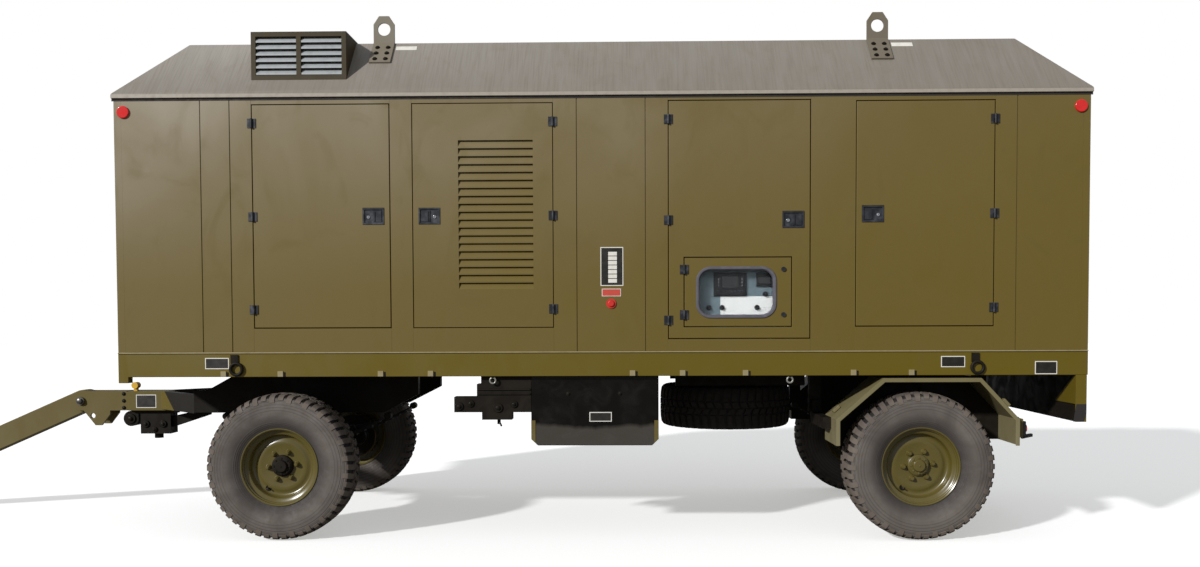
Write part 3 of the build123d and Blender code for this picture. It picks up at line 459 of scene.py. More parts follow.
GUARD_PAINT = SprayedPaint(
    "dusty_olive_on_mudguards",
    colour="#655b34",
    chalked="#7f7757",
    chalk_from=0.4,
    chalk_to=1.1,
    dust="#958e76",
    dust_top=1.5,
    dust_most=1.0,
)
WHEEL_PAINT = SprayedPaint(
    "olive_enamel_on_pressed_wheels",
    colour="#544a1d",
    chalked="#6f6538",
    chalk_most=0.2,
    dust="#6d6242",
    dust_most=0.4,
    roughness=0.24,
    sheen=0.6,
)
CHASSIS = ChassisEnamel("black_enamel_on_chassis_steel")
# The tank's paler foot is painted light
TANK_GLOSS = ChassisEnamel(
    "gloss_black_enamel_on_tank", colour="#0f0d0b", dust="#171411", roughness=0.18, sheen=0.25, painted_light_below=0.805
)
RUBBER = DustyRubber("dusty_tyre_rubber")
# Near-black rubber: in the tyres' grooves it is painted shade, on the bumper blocks plain dark rubber
DARK_RUBBER_AND_GROOVE_SHADE = DustyRubber("dark_rubber_and_painted_groove_shade", colour="#1c1917", dust="#2a2623", mud="#332c25")
LUG_RUBBER = DustyRubber("dusty_tread_lugs", colour="#4a423c", dust="#6d6359", mud="#62564a")
# Darker rubber for the spare tyre, as painted shade under the housing
SPARE_RUBBER_AS_PAINTED_SHADE = DustyRubber("tyre_rubber_darkened_as_shade", colour="#221d1a", dust="#2c2723", mud="#27221d")
ARM_PAINT = ArmPaint("olive_nose_and_black_arms", colour="#5a4e18", chalked="#746a45", chalk_most=0.2)
SLAT_PAINT = MouldedPart("pale_grey_outlet_slats", colour="#a4a8a9", worn="#8b8f90", roughness=0.4)
BLACK_TRIM = MouldedPart("black_powder_coated_zinc", colour="#131317", worn="#26272d", roughness=0.4)
HINGE_ZINC = MouldedPart("dark_zinc_hinges", colour="#26272b", worn="#595b62", roughness=0.38, metallic=0.3)
GREY_TRIM = MouldedPart("dark_anodised_latch_frame", colour="#34353a", worn="#505359", roughness=0.36, metallic=0.5)
CHROME = MouldedPart("chromed_lock_barrel", colour="#d8dadc", worn="#b9bcc0", roughness=0.12, metallic=1.0)
GASKET = MouldedPart("grey_rubber_window_gasket", colour="#55535a", worn="#6b6970", roughness=0.5)
# The panel's blue-grey is kept dark as painted shade, and the white plate on it is a painted highlight
PANEL_GREY_AS_PAINTED_SHADE = MouldedPart("blue_grey_paint_darkened_as_shade", colour="#74858d", worn="#65767e", roughness=0.45)
WHITE_PLATE_AS_PAINTED_HIGHLIGHT = MouldedPart("white_plate_as_painted_highlight", colour="#fbfbf8", worn="#f2f3f2", roughness=0.3)
# Pale olive painted as the highlight along the beam's lit top edge and on the tie tabs
EDGE_HIGHLIGHT_PAINT = MouldedPart("pale_olive_as_painted_highlight", colour="#8f835f", worn="#7a6f4c", roughness=0.5)
# Pale olive painted as the highlight on the eave's fold
EAVE_HIGHLIGHT_PAINT = MouldedPart("pale_olive_painted_highlight_on_eave", colour="#a0978a", worn="#8c8375", roughness=0.5)
RING_GREY = MouldedPart("zinc_plated_rings", colour="#8f8d85", worn="#74726b", roughness=0.35, metallic=0.4)
SCREEN = MouldedPart("dark_display_glass", colour="#0c0f10", worn="#11181a", roughness=0.12, coat=0.6)
RED_LENS = MouldedPart("red_moulded_lens", colour="#d3170f", worn="#a90f0b", roughness=0.18, coat=0.8)
RED_BUTTON = MouldedPart("red_moulded_push_button", colour="#c62a1f", worn="#a8201a", roughness=0.4)
STEEL = MouldedPart("oiled_machined_steel", colour="#6a6763", worn="#4b4640", roughness=0.38, metallic=0.9)
SPRING_STEEL = MouldedPart("scaled_spring_steel", colour="#1d1a17", worn="#39312a", roughness=0.6, metallic=0.4)
YELLOW = MouldedPart("yellow_enamelled_coupling", colour="#d3a62a", worn="#b3892a", roughness=0.4)
PLATE_WHITE = MouldedPart("white_printed_border", colour="#dcd9cf", worn="#c5c0b2", roughness=0.5)
PLATE_BLACK = MouldedPart("black_printed_plate", colour="#17150f", worn="#25221b", roughness=0.45)
PLATE_RED = MouldedPart("red_printed_plate", colour="#bf4436", worn="#ad3a2e", roughness=0.5)
LINER = MouldedPart("grey_acoustic_foam", colour="#34353a", worn="#44464c", roughness=0.95, grain_mm=24, grain_depth_mm=4)
PANE = ClearPane("toughened_float_glass")

SLOT_FINISHES: dict[str, Finish] = {
    "olive_paint": HOUSING_PAINT,
    "roof_paint": ROOF_PAINT,
    "black_paint": CHASSIS,
    "tyre_rubber": RUBBER,
    "reflector_red": RED_LENS,
    "trim_black": BLACK_TRIM,
    "window_pane": PANE,
    "panel_grey": PANEL_GREY_AS_PAINTED_SHADE,
    "stop_red": RED_BUTTON,
    "bare_steel": STEEL,
    "coupling_yellow": YELLOW,
}
NODE_FINISHES: dict[str, Finish] = {
    "frame_long_beams": SKIRT_PAINT,
    "frame_cross_beams": CHASSIS,
    "lifting_eyes": EYE_PAINT,
    "drawbar_frame": ARM_PAINT,
    "roof_louvre_boxes": BOX_PAINT,
    "wall_hinges": HINGE_ZINC,
    "door_1_fittings": HINGE_ZINC,
    "door_2_fittings": HINGE_ZINC,
    "door_3_fittings": HINGE_ZINC,
    "door_4_fittings": HINGE_ZINC,
    "hatch_fittings": HINGE_ZINC,
    "drawbar_head": UNDER_PAINT,
    "drawbar_shaft": UNDER_PAINT,
    "rear_mudguards": GUARD_PAINT,
    "rear_brackets": SKIRT_PAINT,
    "rear_bumper": CHASSIS,
    "fuel_tank": TANK_GLOSS,
    "panel_instruments": SCREEN,
}
EASED_NODES: dict[str, float] = {
    "near_wall_panels": 1.5,
    "door_sills_headers": 1.5,
    "door_1": 3.5,
    "door_3": 3.5,
    "door_4": 3.5,
    "hatch": 3.0,
    "frame_long_beams": 4.0,
    "roof": 8.0,
    "roof_louvre_boxes": 2.0,
    "lifting_eyes": 2.0,
    "rear_mudguards": 2.0,
    "rear_brackets": 2.0,
    "drawbar_frame": 4.0,
    "drawbar_head": 4.0,
    "drawbar_shaft": 5.0,
    "fuel_tank": 6.0,
    "brake_unit": 3.0,
    "brake_valve_rail": 2.0,
    "turntable_frame": 4.0,
}


# Shapes
class Line(Enum):
    """The axis that a form runs along."""

    X = 0
    Y = 1
    Z = 2

    def place(self, along: float, first: float, second: float) -> Vector:
        """Give the point at a distance along the axis and at two places across it.

        Args:
            along: The distance along this axis.
            first: The place on the next axis in the order X, Y, Z.
            second: The place on the last one.

        Returns:
            The point.
        """
        values = [first, second]
        values.insert(self.value, along)
        return Vector(values)


@dataclass
class Shape:
    """One piece's mesh, gathered from simple forms, in metres in the machine's frame."""

    name: str
    finishes: Sequence[Finish]
    mesh: bmesh.types.BMesh = field(default_factory=bmesh.new)

    def face(self, corners: Iterable[bmesh.types.BMVert], finish: int) -> None:
        """Add a face with one of the piece's finishes.

        Args:
            corners: The face's corners in order.
            finish: The finish's place in the list.
        """
        made = self.mesh.faces.new(list(corners))
        made.material_index = finish
        made.smooth = True

    def prism(self, line: Line, outline: Sequence[Point], low: float, high: float, finish: int = 0) -> None:
        """Add a straight bar with an outline.

        Args:
            line: The axis that the bar runs along.
            outline: The outline's points on the other two axes.
            low: Where the bar begins.
            high: Where it ends.
            finish: The finish's place in the list.
        """
        ends = [[self.mesh.verts.new(line.place(along, *point)) for point in outline] for along in (low, high)]
        for end in ends:
            self.face(end, finish)
        for place in range(len(outline)):
            after = (place + 1) % len(outline)
            self.face((ends[0][place], ends[0][after], ends[1][after], ends[1][place]), finish)

    def block(self, low: Corner, high: Corner, finish: int = 0) -> None:
        """Add a block between two corners.

        Args:
            low: The lowest corner.
            high: The highest corner.
            finish: The finish's place in the list.
        """
        outline = ((low[1], low[2]), (high[1], low[2]), (high[1], high[2]), (low[1], high[2]))
        self.prism(Line.X, outline, low[0], high[0], finish)

    def turned(
        self, profile: Sequence[Point], centre: Vector, line: Vector, steps: int, finish: int = 0, closed: bool = False
    ) -> None:
        """Add a form turned about a line.

        Args:
            profile: Distances along the line and radii, in order.
            centre: The point that the distances count from.
            line: The direction of the line.
            steps: How many sides the form has.
            finish: The finish's place in the list.
            closed: Whether the profile runs back to its first point.
        """
        across = line.orthogonal().normalized()
        rings = []
        for along, radius in profile:
            if radius < 1e-6:
                rings.append([self.mesh.verts.new(centre + line * along)] * steps)
                continue
            turns = [Matrix.Rotation(math.tau * step / steps, 3, line) for step in range(steps)]
            rings.append([self.mesh.verts.new(centre + line * along + turn @ across * radius) for turn in turns])
        for place in range(len(rings) - (0 if closed else 1)):
            near, far = rings[place], rings[(place + 1) % len(rings)]
            for step in range(steps):
                after = (step + 1) % steps
                corners = [near[step], near[after], far[after], far[step]]
                unique = [c for at, c in enumerate(corners) if c not in corners[:at]]
                if len(unique) > 2:
                    self.face(unique, finish)

    def rod(self, start: Vector, end: Vector, radius: float, steps: int = 16, finish: int = 0) -> None:
        """Add a round bar with slightly eased ends.

        Args:
            start: One end's middle.
            end: The other end's middle.
            radius: The bar's radius.
            steps: How many sides it has.
            finish: The finish's place in the list.
        """
        line = end - start
        ease = min(radius * 0.15, line.length * 0.3)
        profile = ((0, 0), (0, radius - ease), (ease, radius), (line.length - ease, radius))
        profile += ((line.length, radius - ease), (line.length, 0))
        self.turned(profile, start, line.normalized(), steps, finish)

    def bolt(self, seat: Vector, out: Vector, across: float, finish: int = 0) -> None:
        """Add a washer and a hexagon head.

        Args:
            seat: The point on the surface below the head.
            out: The direction away from the surface.
            across: The head's width over its corners.
            finish: The finish's place in the list.
        """
        self.turned(((0, 0), (0, across * 0.72), (0.003, across * 0.72), (0.003, 0)), seat, out, 16, finish)
        head = ((0.003, 0), (0.003, across / 2), (across * 0.4, across / 2), (across * 0.46, across * 0.4))
        self.turned((*head, (across * 0.46, 0)), seat, out, 6, finish)

    def tube(self, path: Sequence[Vector], radius: float, steps: int = 10, finish: int = 0) -> None:
        """Add a pipe along a path.

        Args:
            path: The points of its middle line.
            radius: The pipe's radius.
            steps: How many sides it has.
            finish: The finish's place in the list.
        """
        rings = []
        for place, point in enumerate(path):
            before, after = path[max(place - 1, 0)], path[min(place + 1, len(path) - 1)]
            line = (after - before).normalized()
            across = line.cross(Vector((0.13, 0.21, 0.97))).normalized()
            turns = [Matrix.Rotation(math.tau * step / steps, 3, line) for step in range(steps)]
            rings.append([self.mesh.verts.new(point + turn @ across * radius) for turn in turns])
        for near, far in zip(rings, rings[1:]):
            for step in range(steps):
                after = (step + 1) % steps
                self.face((near[step], near[after], far[after], far[step]), finish)
        self.face(rings[0], finish)
        self.face(rings[-1], finish)

    def piece(
        self, body: str, slot: str, replaces: Sequence[str] = (), ease_mm: float = 0.0, crease: float = 35.0
    ) -> bpy.types.Object:
        """Make the Blender object, and let it ride on its body.

        Args:
            body: The CAD body that carries it.
            slot: The record's material slot; not used.
            replaces: The CAD nodes that it stands for.
            ease_mm: The width of its eased edges.
            crease: The least angle, in degrees, that stays a sharp edge.

        Returns:
            The finished piece.
        """
        bmesh.ops.recalc_face_normals(self.mesh, faces=self.mesh.faces[:])
        data = bpy.data.meshes.new(self.name)
        self.mesh.to_mesh(data)
        self.mesh.free()
        for finish in self.finishes:
            data.materials.append(finish.material())
        data.set_sharp_from_angle(angle=math.radians(crease))
        made = bpy.data.objects.new(self.name, data)
        bpy.context.scene.collection.objects.link(made)
        if ease_mm:
            ease_edges(made, ease_mm)
        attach(made, body)
        if replaces:
            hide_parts(*replaces)
        LOG.info("%s: %d faces on %s", self.name, len(data.polygons), body)
        return made


def ease_edges(piece: bpy.types.Object, width_mm: float) -> None:
    """Round a piece's sharp edges a little, as folding and paint do.

    Args:
        piece: The Blender object.
        width_mm: The width of the rounding.
    """
    bevel = piece.modifiers.new("eased_edges", "BEVEL")
    bevel.width = width_mm / 1000
    bevel.segments = 2
    bevel.limit_method = "ANGLE"
    bevel.angle_limit = math.radians(40)
    bevel.harden_normals = True


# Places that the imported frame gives
ROOF_LOW, ROOF_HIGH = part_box("roof")
MIDDLE = (ROOF_LOW.x + ROOF_HIGH.x) / 2
WALL_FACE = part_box("near_wall_panels")[0].y
SKIRT_LOW, SKIRT_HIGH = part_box("frame_long_beams")
SIDES = (("near", -1), ("far", 1))


def at(x_mm: float, y_mm: float, z_mm: float) -> Vector:
    """Give the point at a place in millimetres, with X counted from the housing's middle.

    Args:
        x_mm: Along the housing, to the rear.
        y_mm: Across it, to the far side.
        z_mm: Above the ground.

    Returns:
        The point in metres in the machine's frame.
    """
    return Vector((MIDDLE + x_mm / 1000, y_mm / 1000, z_mm / 1000))


@dataclass
class Tyre:
    """An off-road tyre with two rows of centre blocks and shoulder lugs that reach down the side wall."""

    name: str
    centre: Vector
    line: Vector
    body: str
    node: str
    radius: float = 0.518
    bead_radius: float = 0.256
    half_width: float = 0.1675
    groove: float = 0.017
    lug_count: int = 50
    steps: int = 120

    def side_wall(self, radius: float) -> float:
        """Half width of the carcass at a radius on the side wall.

        Args:
            radius: The radius.

        Returns:
            The distance from the tyre's mid plane.
        """
        foot, belly, shoulder = 0.284, 0.395, 0.480
        at_foot, at_belly, at_shoulder = 0.1265, self.half_width - 0.0015, 0.1545
        first = (radius - belly) * (radius - shoulder) / ((foot - belly) * (foot - shoulder))
        second = (radius - foot) * (radius - shoulder) / ((belly - foot) * (belly - shoulder))
        third = (radius - foot) * (radius - belly) / ((shoulder - foot) * (shoulder - belly))
        return at_foot * first + at_belly * second + at_shoulder * third

    def section(self) -> list[Point]:
        """Outline of half the carcass, from the bead to the crown's middle.

        Returns:
            Distances from the mid plane and radii.
        """
        outline = [(0.097, self.bead_radius), (0.120, 0.266), (0.124, 0.276)]
        count = 52
        for place in range(count):
            radius = 0.284 + (0.480 - 0.284) * place / (count - 1)
            ringed = radius < 0.325 or radius > 0.437
            rib = 0.0012 if ringed and place % 3 == 0 else 0.0
            outline.append((self.side_wall(radius) + rib, radius))
        crown = self.radius - self.groove
        outline += [(0.150, 0.490), (0.138, crown - 0.004), (0.110, crown - 0.001), (0.055, crown), (0.0, crown)]
        return outline

    def lug(self, shape: Shape, stations: Sequence[Point], angle: float, width: float, skew: float) -> None:
        """Add one tread block that follows its stations from the crown outwards.

        Args:
            shape: The tyre's shape.
            stations: Distances from the mid plane and outer radii.
            angle: The block's place round the tyre.
            width: Its angular width.
            skew: How far it leans round the tyre for each metre outwards.
        """
        across = self.line.orthogonal().normalized()
        rows = []
        for place, (out, radius) in enumerate(stations):
            before, after = stations[max(place - 1, 0)], stations[min(place + 1, len(stations) - 1)]
            run = Vector((after[0] - before[0], after[1] - before[1])).normalized()
            inward = Vector((run.y, -run.x)) if stations[-1][0] > 0 else Vector((-run.y, run.x))
            foot = (out + inward.x * self.groove, radius + inward.y * self.groove)
            row = []
            for edge in (-1, 1):
                turn = Matrix.Rotation(angle + edge * width / 2 + skew * abs(out), 3, self.line) @ across
                row.append([self.centre + self.line * p[0] + turn * p[1] for p in ((out, radius), foot)])
            rows.append([shape.mesh.verts.new(p) for p in (row[0][0], row[1][0], row[1][1], row[0][1])])
        for near, far in zip(rows, rows[1:]):
            for corner in range(4):
                after = (corner + 1) % 4
                shape.face((near[corner], near[after], far[after], far[corner]), 2)
        shape.face(rows[0], 2)
        shape.face(rows[-1], 2)

    def build(self) -> bpy.types.Object:
        """Make the tyre in place of its plain CAD ring.

        Returns:
            The tyre.
        """
        spare = self.node == "spare_tyre"
        hub = tuple(self.centre + self.line * self.half_width)
        # The spare tyre takes darker rubber all over, as painted shade
        rubber = SPARE_RUBBER_AS_PAINTED_SHADE if spare else DustyRubber(f"dusty_rubber_{self.node}", axle=hub)
        shape = Shape(self.name, (rubber, DARK_RUBBER_AND_GROOVE_SHADE, SPARE_RUBBER_AS_PAINTED_SHADE if spare else LUG_RUBBER))
        half = self.section()
        side = [p for p in half if p[1] <= 0.4905]
        crown = [half[half.index(side[-1])]] + [p for p in half if p not in side]
        whole_crown = crown + [(-s, r) for s, r in crown[-2::-1]]
        shape.turned(side, self.centre, self.line, self.steps, 0)
        shape.turned([(-s, r) for s, r in side], self.centre, self.line, self.steps, 0)
        # The crown between the lugs is near black, as painted shade in the grooves
        shape.turned(whole_crown, self.centre, self.line, self.steps, 1)
        shape.turned((half[0], (-half[0][0], half[0][1])), self.centre, self.line, self.steps, 1)
        pitch = math.tau / self.lug_count
        top = self.radius - 0.0005
        for place in range(self.lug_count):
            for sign in (-1, 1):
                angle = pitch * (place + (0.5 if sign > 0 else 0.0))
                shoulder = ((0.056, top), (0.104, top - 0.003), (0.137, top - 0.009), (0.154, top - 0.022))
                shoulder += ((0.1618, top - 0.040), (0.1642, top - 0.058))
                long_lug = shoulder if place % 2 else shoulder[:-1]
                self.lug(shape, [(sign * s, r) for s, r in long_lug], angle, pitch * 0.60, 0.25)
                centre = ((0.005, top), (0.046, top))
                self.lug(shape, [(sign * s, r) for s, r in centre], angle + pitch / 2, pitch * 0.72, -0.9)
        return shape.piece(self.body, "tyre_rubber", (self.node,), crease=28)


@dataclass
class RoadWheel:
    """A pressed steel wheel with its hub, nuts and valve."""

    name: str
    centre: Vector
    out: Vector
    body: str
    node: str
    driven: bool
    flange: float = 0.275
    half_width: float = 0.131
    nut_circle: float = 0.1025
    nut_count: int = 6
    disc: float = 0.0390
    inner_end: float = -0.1835

    def profile(self) -> list[Point]:
        """Closed half section of the wheel, its disc and its brake drum.

        Returns:
            Distances outwards from the mid plane and radii.
        """
        outer = [(0.1235, 0.2665), (0.126, self.flange - 0.001), (0.1305, self.flange), (0.131, 0.270), (0.127, 0.264)]
        lock_ring = [(0.116, 0.261), (0.112, 0.2555), (0.108, 0.2585), (0.100, 0.2575), (0.094, 0.250)]
        well = [(0.092, 0.243), (0.084, 0.229), (0.074, 0.2245), (0.060, 0.223)]
        dish = [(0.046, 0.220), (0.036, 0.211), (0.0325, 0.200), (0.0345, 0.188), (0.0395, 0.178)]
        disc = [(0.042, 0.168), (0.0415, 0.150), (0.0395, 0.140), (self.disc, 0.084)]
        drum = [(self.inner_end, 0.060), (self.inner_end + 0.0045, 0.060), (self.inner_end + 0.0045, 0.194)]
        drum += [(self.inner_end + 0.010, 0.200), (-0.040, 0.200), (-0.040, 0.238), (-0.109, 0.240)]
        inner_flange = [(-0.122, 0.262), (-0.131, 0.264), (-0.131, self.flange), (-0.117, self.flange)]
        seat = [(-0.105, 0.254), (0.105, 0.2545), (0.116, 0.263)]
        middle = [(self.disc, 0.0), (self.inner_end, 0.0)]
        return outer + lock_ring + well + dish + disc + middle + drum + inner_flange + seat

    def hub(self, shape: Shape) -> None:
        """Add the stepped hub with its ring of small bolts.

        Args:
            shape: The wheel's shape.
        """
        cap = 0 if self.driven else 1
        steps = [(-0.0005, 0.078), (0.021, 0.074), (0.024, 0.068), (0.029, 0.068), (0.031, 0.062), (0.035, 0.062)]
        steps += [(0.037, 0.046), (0.041, 0.044), (0.053, 0.041), (0.0565, 0.037), (0.057, 0.0)]
        foot = self.centre + self.out * self.disc
        shape.turned(steps, foot, self.out, 48, cap)
        across = self.out.orthogonal().normalized()
        for place in range(8):
            turn = Matrix.Rotation(math.tau * place / 8, 3, self.out) @ across
            shape.bolt(foot + self.out * 0.0345 + turn * 0.0540, self.out, 0.013, cap)
        shape.bolt(foot + self.out * 0.0555, self.out, 0.012, cap)

    def build(self) -> bpy.types.Object:
        """Make the wheel in place of its plain CAD form.

        Returns:
            The wheel.
        """
        shape = Shape(self.name, (WHEEL_PAINT, CHASSIS, STEEL))
        shape.turned(self.profile(), self.centre, self.out, 96, 0)
        self.hub(shape)
        across = self.out.orthogonal().normalized()
        for place in range(self.nut_count):
            turn = Matrix.Rotation(math.tau * (place + 0.35) / self.nut_count, 3, self.out) @ across
            foot = self.centre + self.out * self.disc + turn * self.nut_circle
            cone = ((0, 0.022), (0.004, 0.021), (0.009, 0.016), (0.009, 0))
            shape.turned(cone, foot, self.out, 18, 0)
            nut = ((0.008, 0.0), (0.008, 0.0165), (0.026, 0.0165), (0.0285, 0.0145), (0.0285, 0.009), (0.0285, 0))
            shape.turned(nut, foot, self.out, 6, 0)
            shape.turned(((0.028, 0.0095), (0.036, 0.009), (0.037, 0)), foot, self.out, 14, 0)
        # The valve's hole, drawn as a shallow recess in black as painted shade, and its stem
        turn = Matrix.Rotation(0.2, 3, self.out) @ across
        hole = self.centre + self.out * 0.0350 + turn * 0.192
        shape.turned(((0.0, 0.021), (0.003, 0.021), (0.003, 0.016), (0.0005, 0.0155), (0.0005, 0)), hole, self.out, 20, 1)
        shape.rod(hole, hole + self.out * 0.038, 0.0055, 12, 2)
        return shape.piece(self.body, "olive_paint", (self.node,), crease=32)


@dataclass
class LeafSprings:
    """A pair of multi-leaf springs with their clamps and U-bolts."""

    name: str
    axle_x: float
    body: str
    node: str
    half_span: float = 0.620
    eye_height: float = 0.820
    seat: float = 0.578
    leaf: float = 0.008
    leaf_count: int = 9
    half_gauge: float = 0.500
    half_width: float = 0.040
    axle_half: float = 0.060

    def rise(self, x: float) -> float:
        """Height of the top leaf's upper face at a distance from the axle.

        Args:
            x: The distance along the machine.

        Returns:
            The height above the ground.
        """
        low = self.seat + self.leaf * self.leaf_count
        return low + (self.eye_height - low) * (x / self.half_span) ** 2

    def build(self) -> bpy.types.Object:
        """Make both springs in place of their plain CAD form.

        Returns:
            The springs.
        """
        shape = Shape(self.name, (SPRING_STEEL, CHASSIS))
        count = 24
        for y in (-self.half_gauge, self.half_gauge):
            for place in range(self.leaf_count):
                reach = self.half_span * (1 - 0.095 * place)
                narrow = self.half_width - 0.002 * (place % 2)
                xs = [reach * (2 * step / count - 1) for step in range(count + 1)]
                upper = [(self.axle_x + x, self.rise(x) - place * self.leaf) for x in xs]
                lower = [(x, z - self.leaf + 0.0006) for x, z in upper]
                shape.prism(Line.Y, upper + lower[::-1], y - narrow, y + narrow)
            for end in (-1, 1):
                eye = Vector((self.axle_x + end * self.half_span, y, self.eye_height))
                out = Vector((0, self.half_width, 0))
                shape.rod(eye - out, eye + out, 0.0275, 24)
                shape.bolt(eye + out * (1 if y > 0 else -1), Vector((0, math.copysign(1, y), 0)), 0.034, 1)
                clip = self.axle_x + end * self.half_span * 0.52
                top = self.rise(self.half_span * 0.52)
                low = (clip - 0.014, y - self.half_width - 0.004, top - self.leaf * 4.2)
                shape.block(low, (clip + 0.014, y + self.half_width + 0.004, top + 0.006), 1)
            top = self.seat + self.leaf * self.leaf_count
            low = (self.axle_x - 0.085, y - self.half_width - 0.016, top - 0.002)
            shape.block(low, (self.axle_x + 0.085, y + self.half_width + 0.016, top + 0.016), 1)
            for x in (-0.062, 0.062):
                for side in (-1, 1):
                    foot = Vector((self.axle_x + x, y + side * (self.half_width + 0.009), self.seat - 0.135))
                    shape.rod(foot, Vector((foot.x, foot.y, top + 0.032)), 0.008, 12, 1)
                    shape.bolt(Vector((foot.x, foot.y, top + 0.014)), Vector((0, 0, 1)), 0.026, 1)
            plate = (self.axle_x - 0.085, y - self.half_width - 0.018, self.seat - 2 * self.axle_half - 0.014)
            shape.block(plate, (self.axle_x + 0.085, y + self.half_width + 0.018, plate[2] + 0.014), 1)
        return shape.piece(self.body, "black_paint", (self.node,), crease=30)


@dataclass
class DoorLatch:
    """A flush paddle latch with its frame, lock barrel and folding paddle."""

    name: str
    door: str
    x: float
    z: float
    opens_to: int
    half_width: float = 0.075
    half_height: float = 0.0575
    border: float = 0.012
    proud: float = 0.004

    def build(self) -> bpy.types.Object:
        """Make the latch on its door.

        Returns:
            The latch.
        """
        shape = Shape(self.name, (BLACK_TRIM, GREY_TRIM, CHROME))
        face = WALL_FACE
        left, right = self.x - self.half_width, self.x + self.half_width
        low, high = self.z - self.half_height, self.z + self.half_height
        rim = face - self.proud
        for x0, x1, z0, z1 in (
            (left, right, high - self.border, high),
            (left, right, low, low + self.border),
            (left, left + self.border, low + self.border, high - self.border),
            (right - self.border, right, low + self.border, high - self.border),
        ):
            shape.block((x0, rim, z0), (x1, face + 0.004, z1), 1)
        # The cup's floor, dished behind the paddle
        shape.block((left + 0.01, face + 0.0085, low + 0.01), (right - 0.01, face + 0.0115, high - 0.01), 0)
        paddle = self.x + self.opens_to * 0.026
        shape.block((paddle - 0.031, face - 0.002, low + 0.019), (paddle + 0.031, face + 0.007, high - 0.019), 1)
        grip = paddle - self.opens_to * 0.018
        shape.block((grip - 0.004, face - 0.0075, low + 0.024), (grip + 0.004, face - 0.001, high - 0.024), 0)
        barrel = Vector((self.x - self.opens_to * 0.036, face + 0.009, self.z - 0.006))
        shape.rod(barrel, barrel + Vector((0, -0.010, 0)), 0.0125, 20, 2)
        slot = barrel + Vector((0, -0.0105, 0))
        shape.block((slot.x - 0.0015, slot.y, slot.z - 0.007), (slot.x + 0.0015, slot.y + 0.002, slot.z + 0.007), 0)
        return shape.piece(self.door, "trim_black", ease_mm=1.2)


@dataclass
class Plate:
    """A bare label plate: a pale border round a dark field, with no lettering."""

    name: str
    body: str
    low: Vector
    high: Vector
    field_finish: Finish = PLATE_BLACK
    border: float = 0.006
    bars: int = 0

    def build(self) -> bpy.types.Object:
        """Make the plate on the surface that it is stuck to.

        Returns:
            The plate.
        """
        shape = Shape(self.name, (PLATE_WHITE, self.field_finish))
        face = self.high.y
        shape.block((self.low.x, face - 0.0015, self.low.z), (self.high.x, face, self.high.z), 0)
        inner_low = (self.low.x + self.border, face - 0.0023, self.low.z + self.border)
        shape.block(inner_low, (self.high.x - self.border, face - 0.0012, self.high.z - self.border), 1)
        if self.bars:
            # A plain level scale: one pale column crossed by dark marks
            width, height = self.high.x - self.low.x, self.high.z - self.low.z
            column = (self.low.x + width * 0.34, self.low.x + width * 0.72)
            step = (height - 0.05) / self.bars
            for bar in range(self.bars):
                z = self.low.z + 0.022 + bar * step
                shape.block((column[0], face - 0.0032, z), (column[1], face - 0.002, z + step * 0.84), 0)
        return shape.piece(self.body, "trim_black")


@dataclass
class LiftingEyeTrim:
    """Bolts through the feet of the lifting eyes, and a bare tag beside each near one."""

    eye_xs_mm: tuple[float, float] = (-1556, 1994)
    slope_foot: Point = (1030, 3338)
    slope_run: Point = (-400, 431)
    eave: Point = (1.260, 3.122)
    tag_mm: Point = (92, 150)

    def build(self) -> None:
        """Make one set of bolts on each side."""
        run = Vector((0, *self.slope_run)).normalized()
        for side, sign in SIDES:
            shape = Shape(f"lifting_eye_bolts_{side}", (CHASSIS, STEEL))
            out = Vector((0, sign * run.z, -run.y)).normalized()
            low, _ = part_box("lifting_eyes")
            for x_mm in self.eye_xs_mm:
                for row in range(3):
                    for column in (-1, 1):
                        up = 0.035 + row * 0.070
                        foot = at(x_mm + column * 38, 0, 0)
                        y = sign * (self.slope_foot[0] / 1000 + run.y * up)
                        seat = Vector((foot.x, y, low.z + 0.0005 + run.z * up)) + out * 0.0135
                        shape.bolt(seat, out, 0.024, 0)
            shape.piece("housing_and_frame", "black_paint")
            tags = Shape(f"lifting_eye_tags_{side}", (PLATE_WHITE,))
            for x_mm in self.eye_xs_mm:
                left = at(x_mm + self.tag_mm[0], 0, 0).x
                corners = []
                for up, lift in ((0.500, 0.0), (0.545, 0.0), (0.545, 0.002), (0.500, 0.002)):
                    foot = Vector((0, sign * self.eave[0], self.eave[1])) + Vector((0, sign * run.y, run.z)) * up
                    spot = foot + out * lift
                    corners.append((spot.y, spot.z))
                tags.prism(Line.X, corners, left, left + self.tag_mm[1] / 1000)
            tags.piece("housing_and_frame", "panel_grey")


@dataclass
class OutletSlats:
    """Pale slats over the folded blades of the roof's outlet boxes."""

    border: float = 0.034
    recess: float = 0.045
    setback: float = 0.004
    blade: float = 0.010
    rise: float = 0.038
    skin: float = 0.0015
    rows: int = 6

    def build(self) -> bpy.types.Object:
        """Make the slats of both boxes.

        Returns:
            The slats.
        """
        shape = Shape("roof_outlet_slats", (SLAT_PAINT,))
        low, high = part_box("roof_louvre_boxes")
        middle = (low.x + high.x) / 2
        bottom = low.z + self.border
        pitch = (high.z - self.border - bottom) / self.rows
        half = self.border / 2
        for sign in (-1, 1):
            face = abs(low.y)
            for left, right in ((low.x + self.border, middle - half), (middle + half, high.x - self.border)):
                for row in range(self.rows):
                    z = bottom + row * pitch + self.setback + self.blade
                    front, back = sign * (face - self.setback + self.skin), sign * (face - self.recess + self.skin)
                    outline = ((front, z - self.blade), (front, z + self.skin), (back, z + self.rise + self.skin))
                    outline += ((back, z + self.rise), (front - sign * self.skin, z))
                    outline += ((front - sign * self.skin, z - self.blade),)
                    shape.prism(Line.X, outline, left + 0.001, right - 0.001)
        return shape.piece("housing_and_frame", "panel_grey", crease=20)


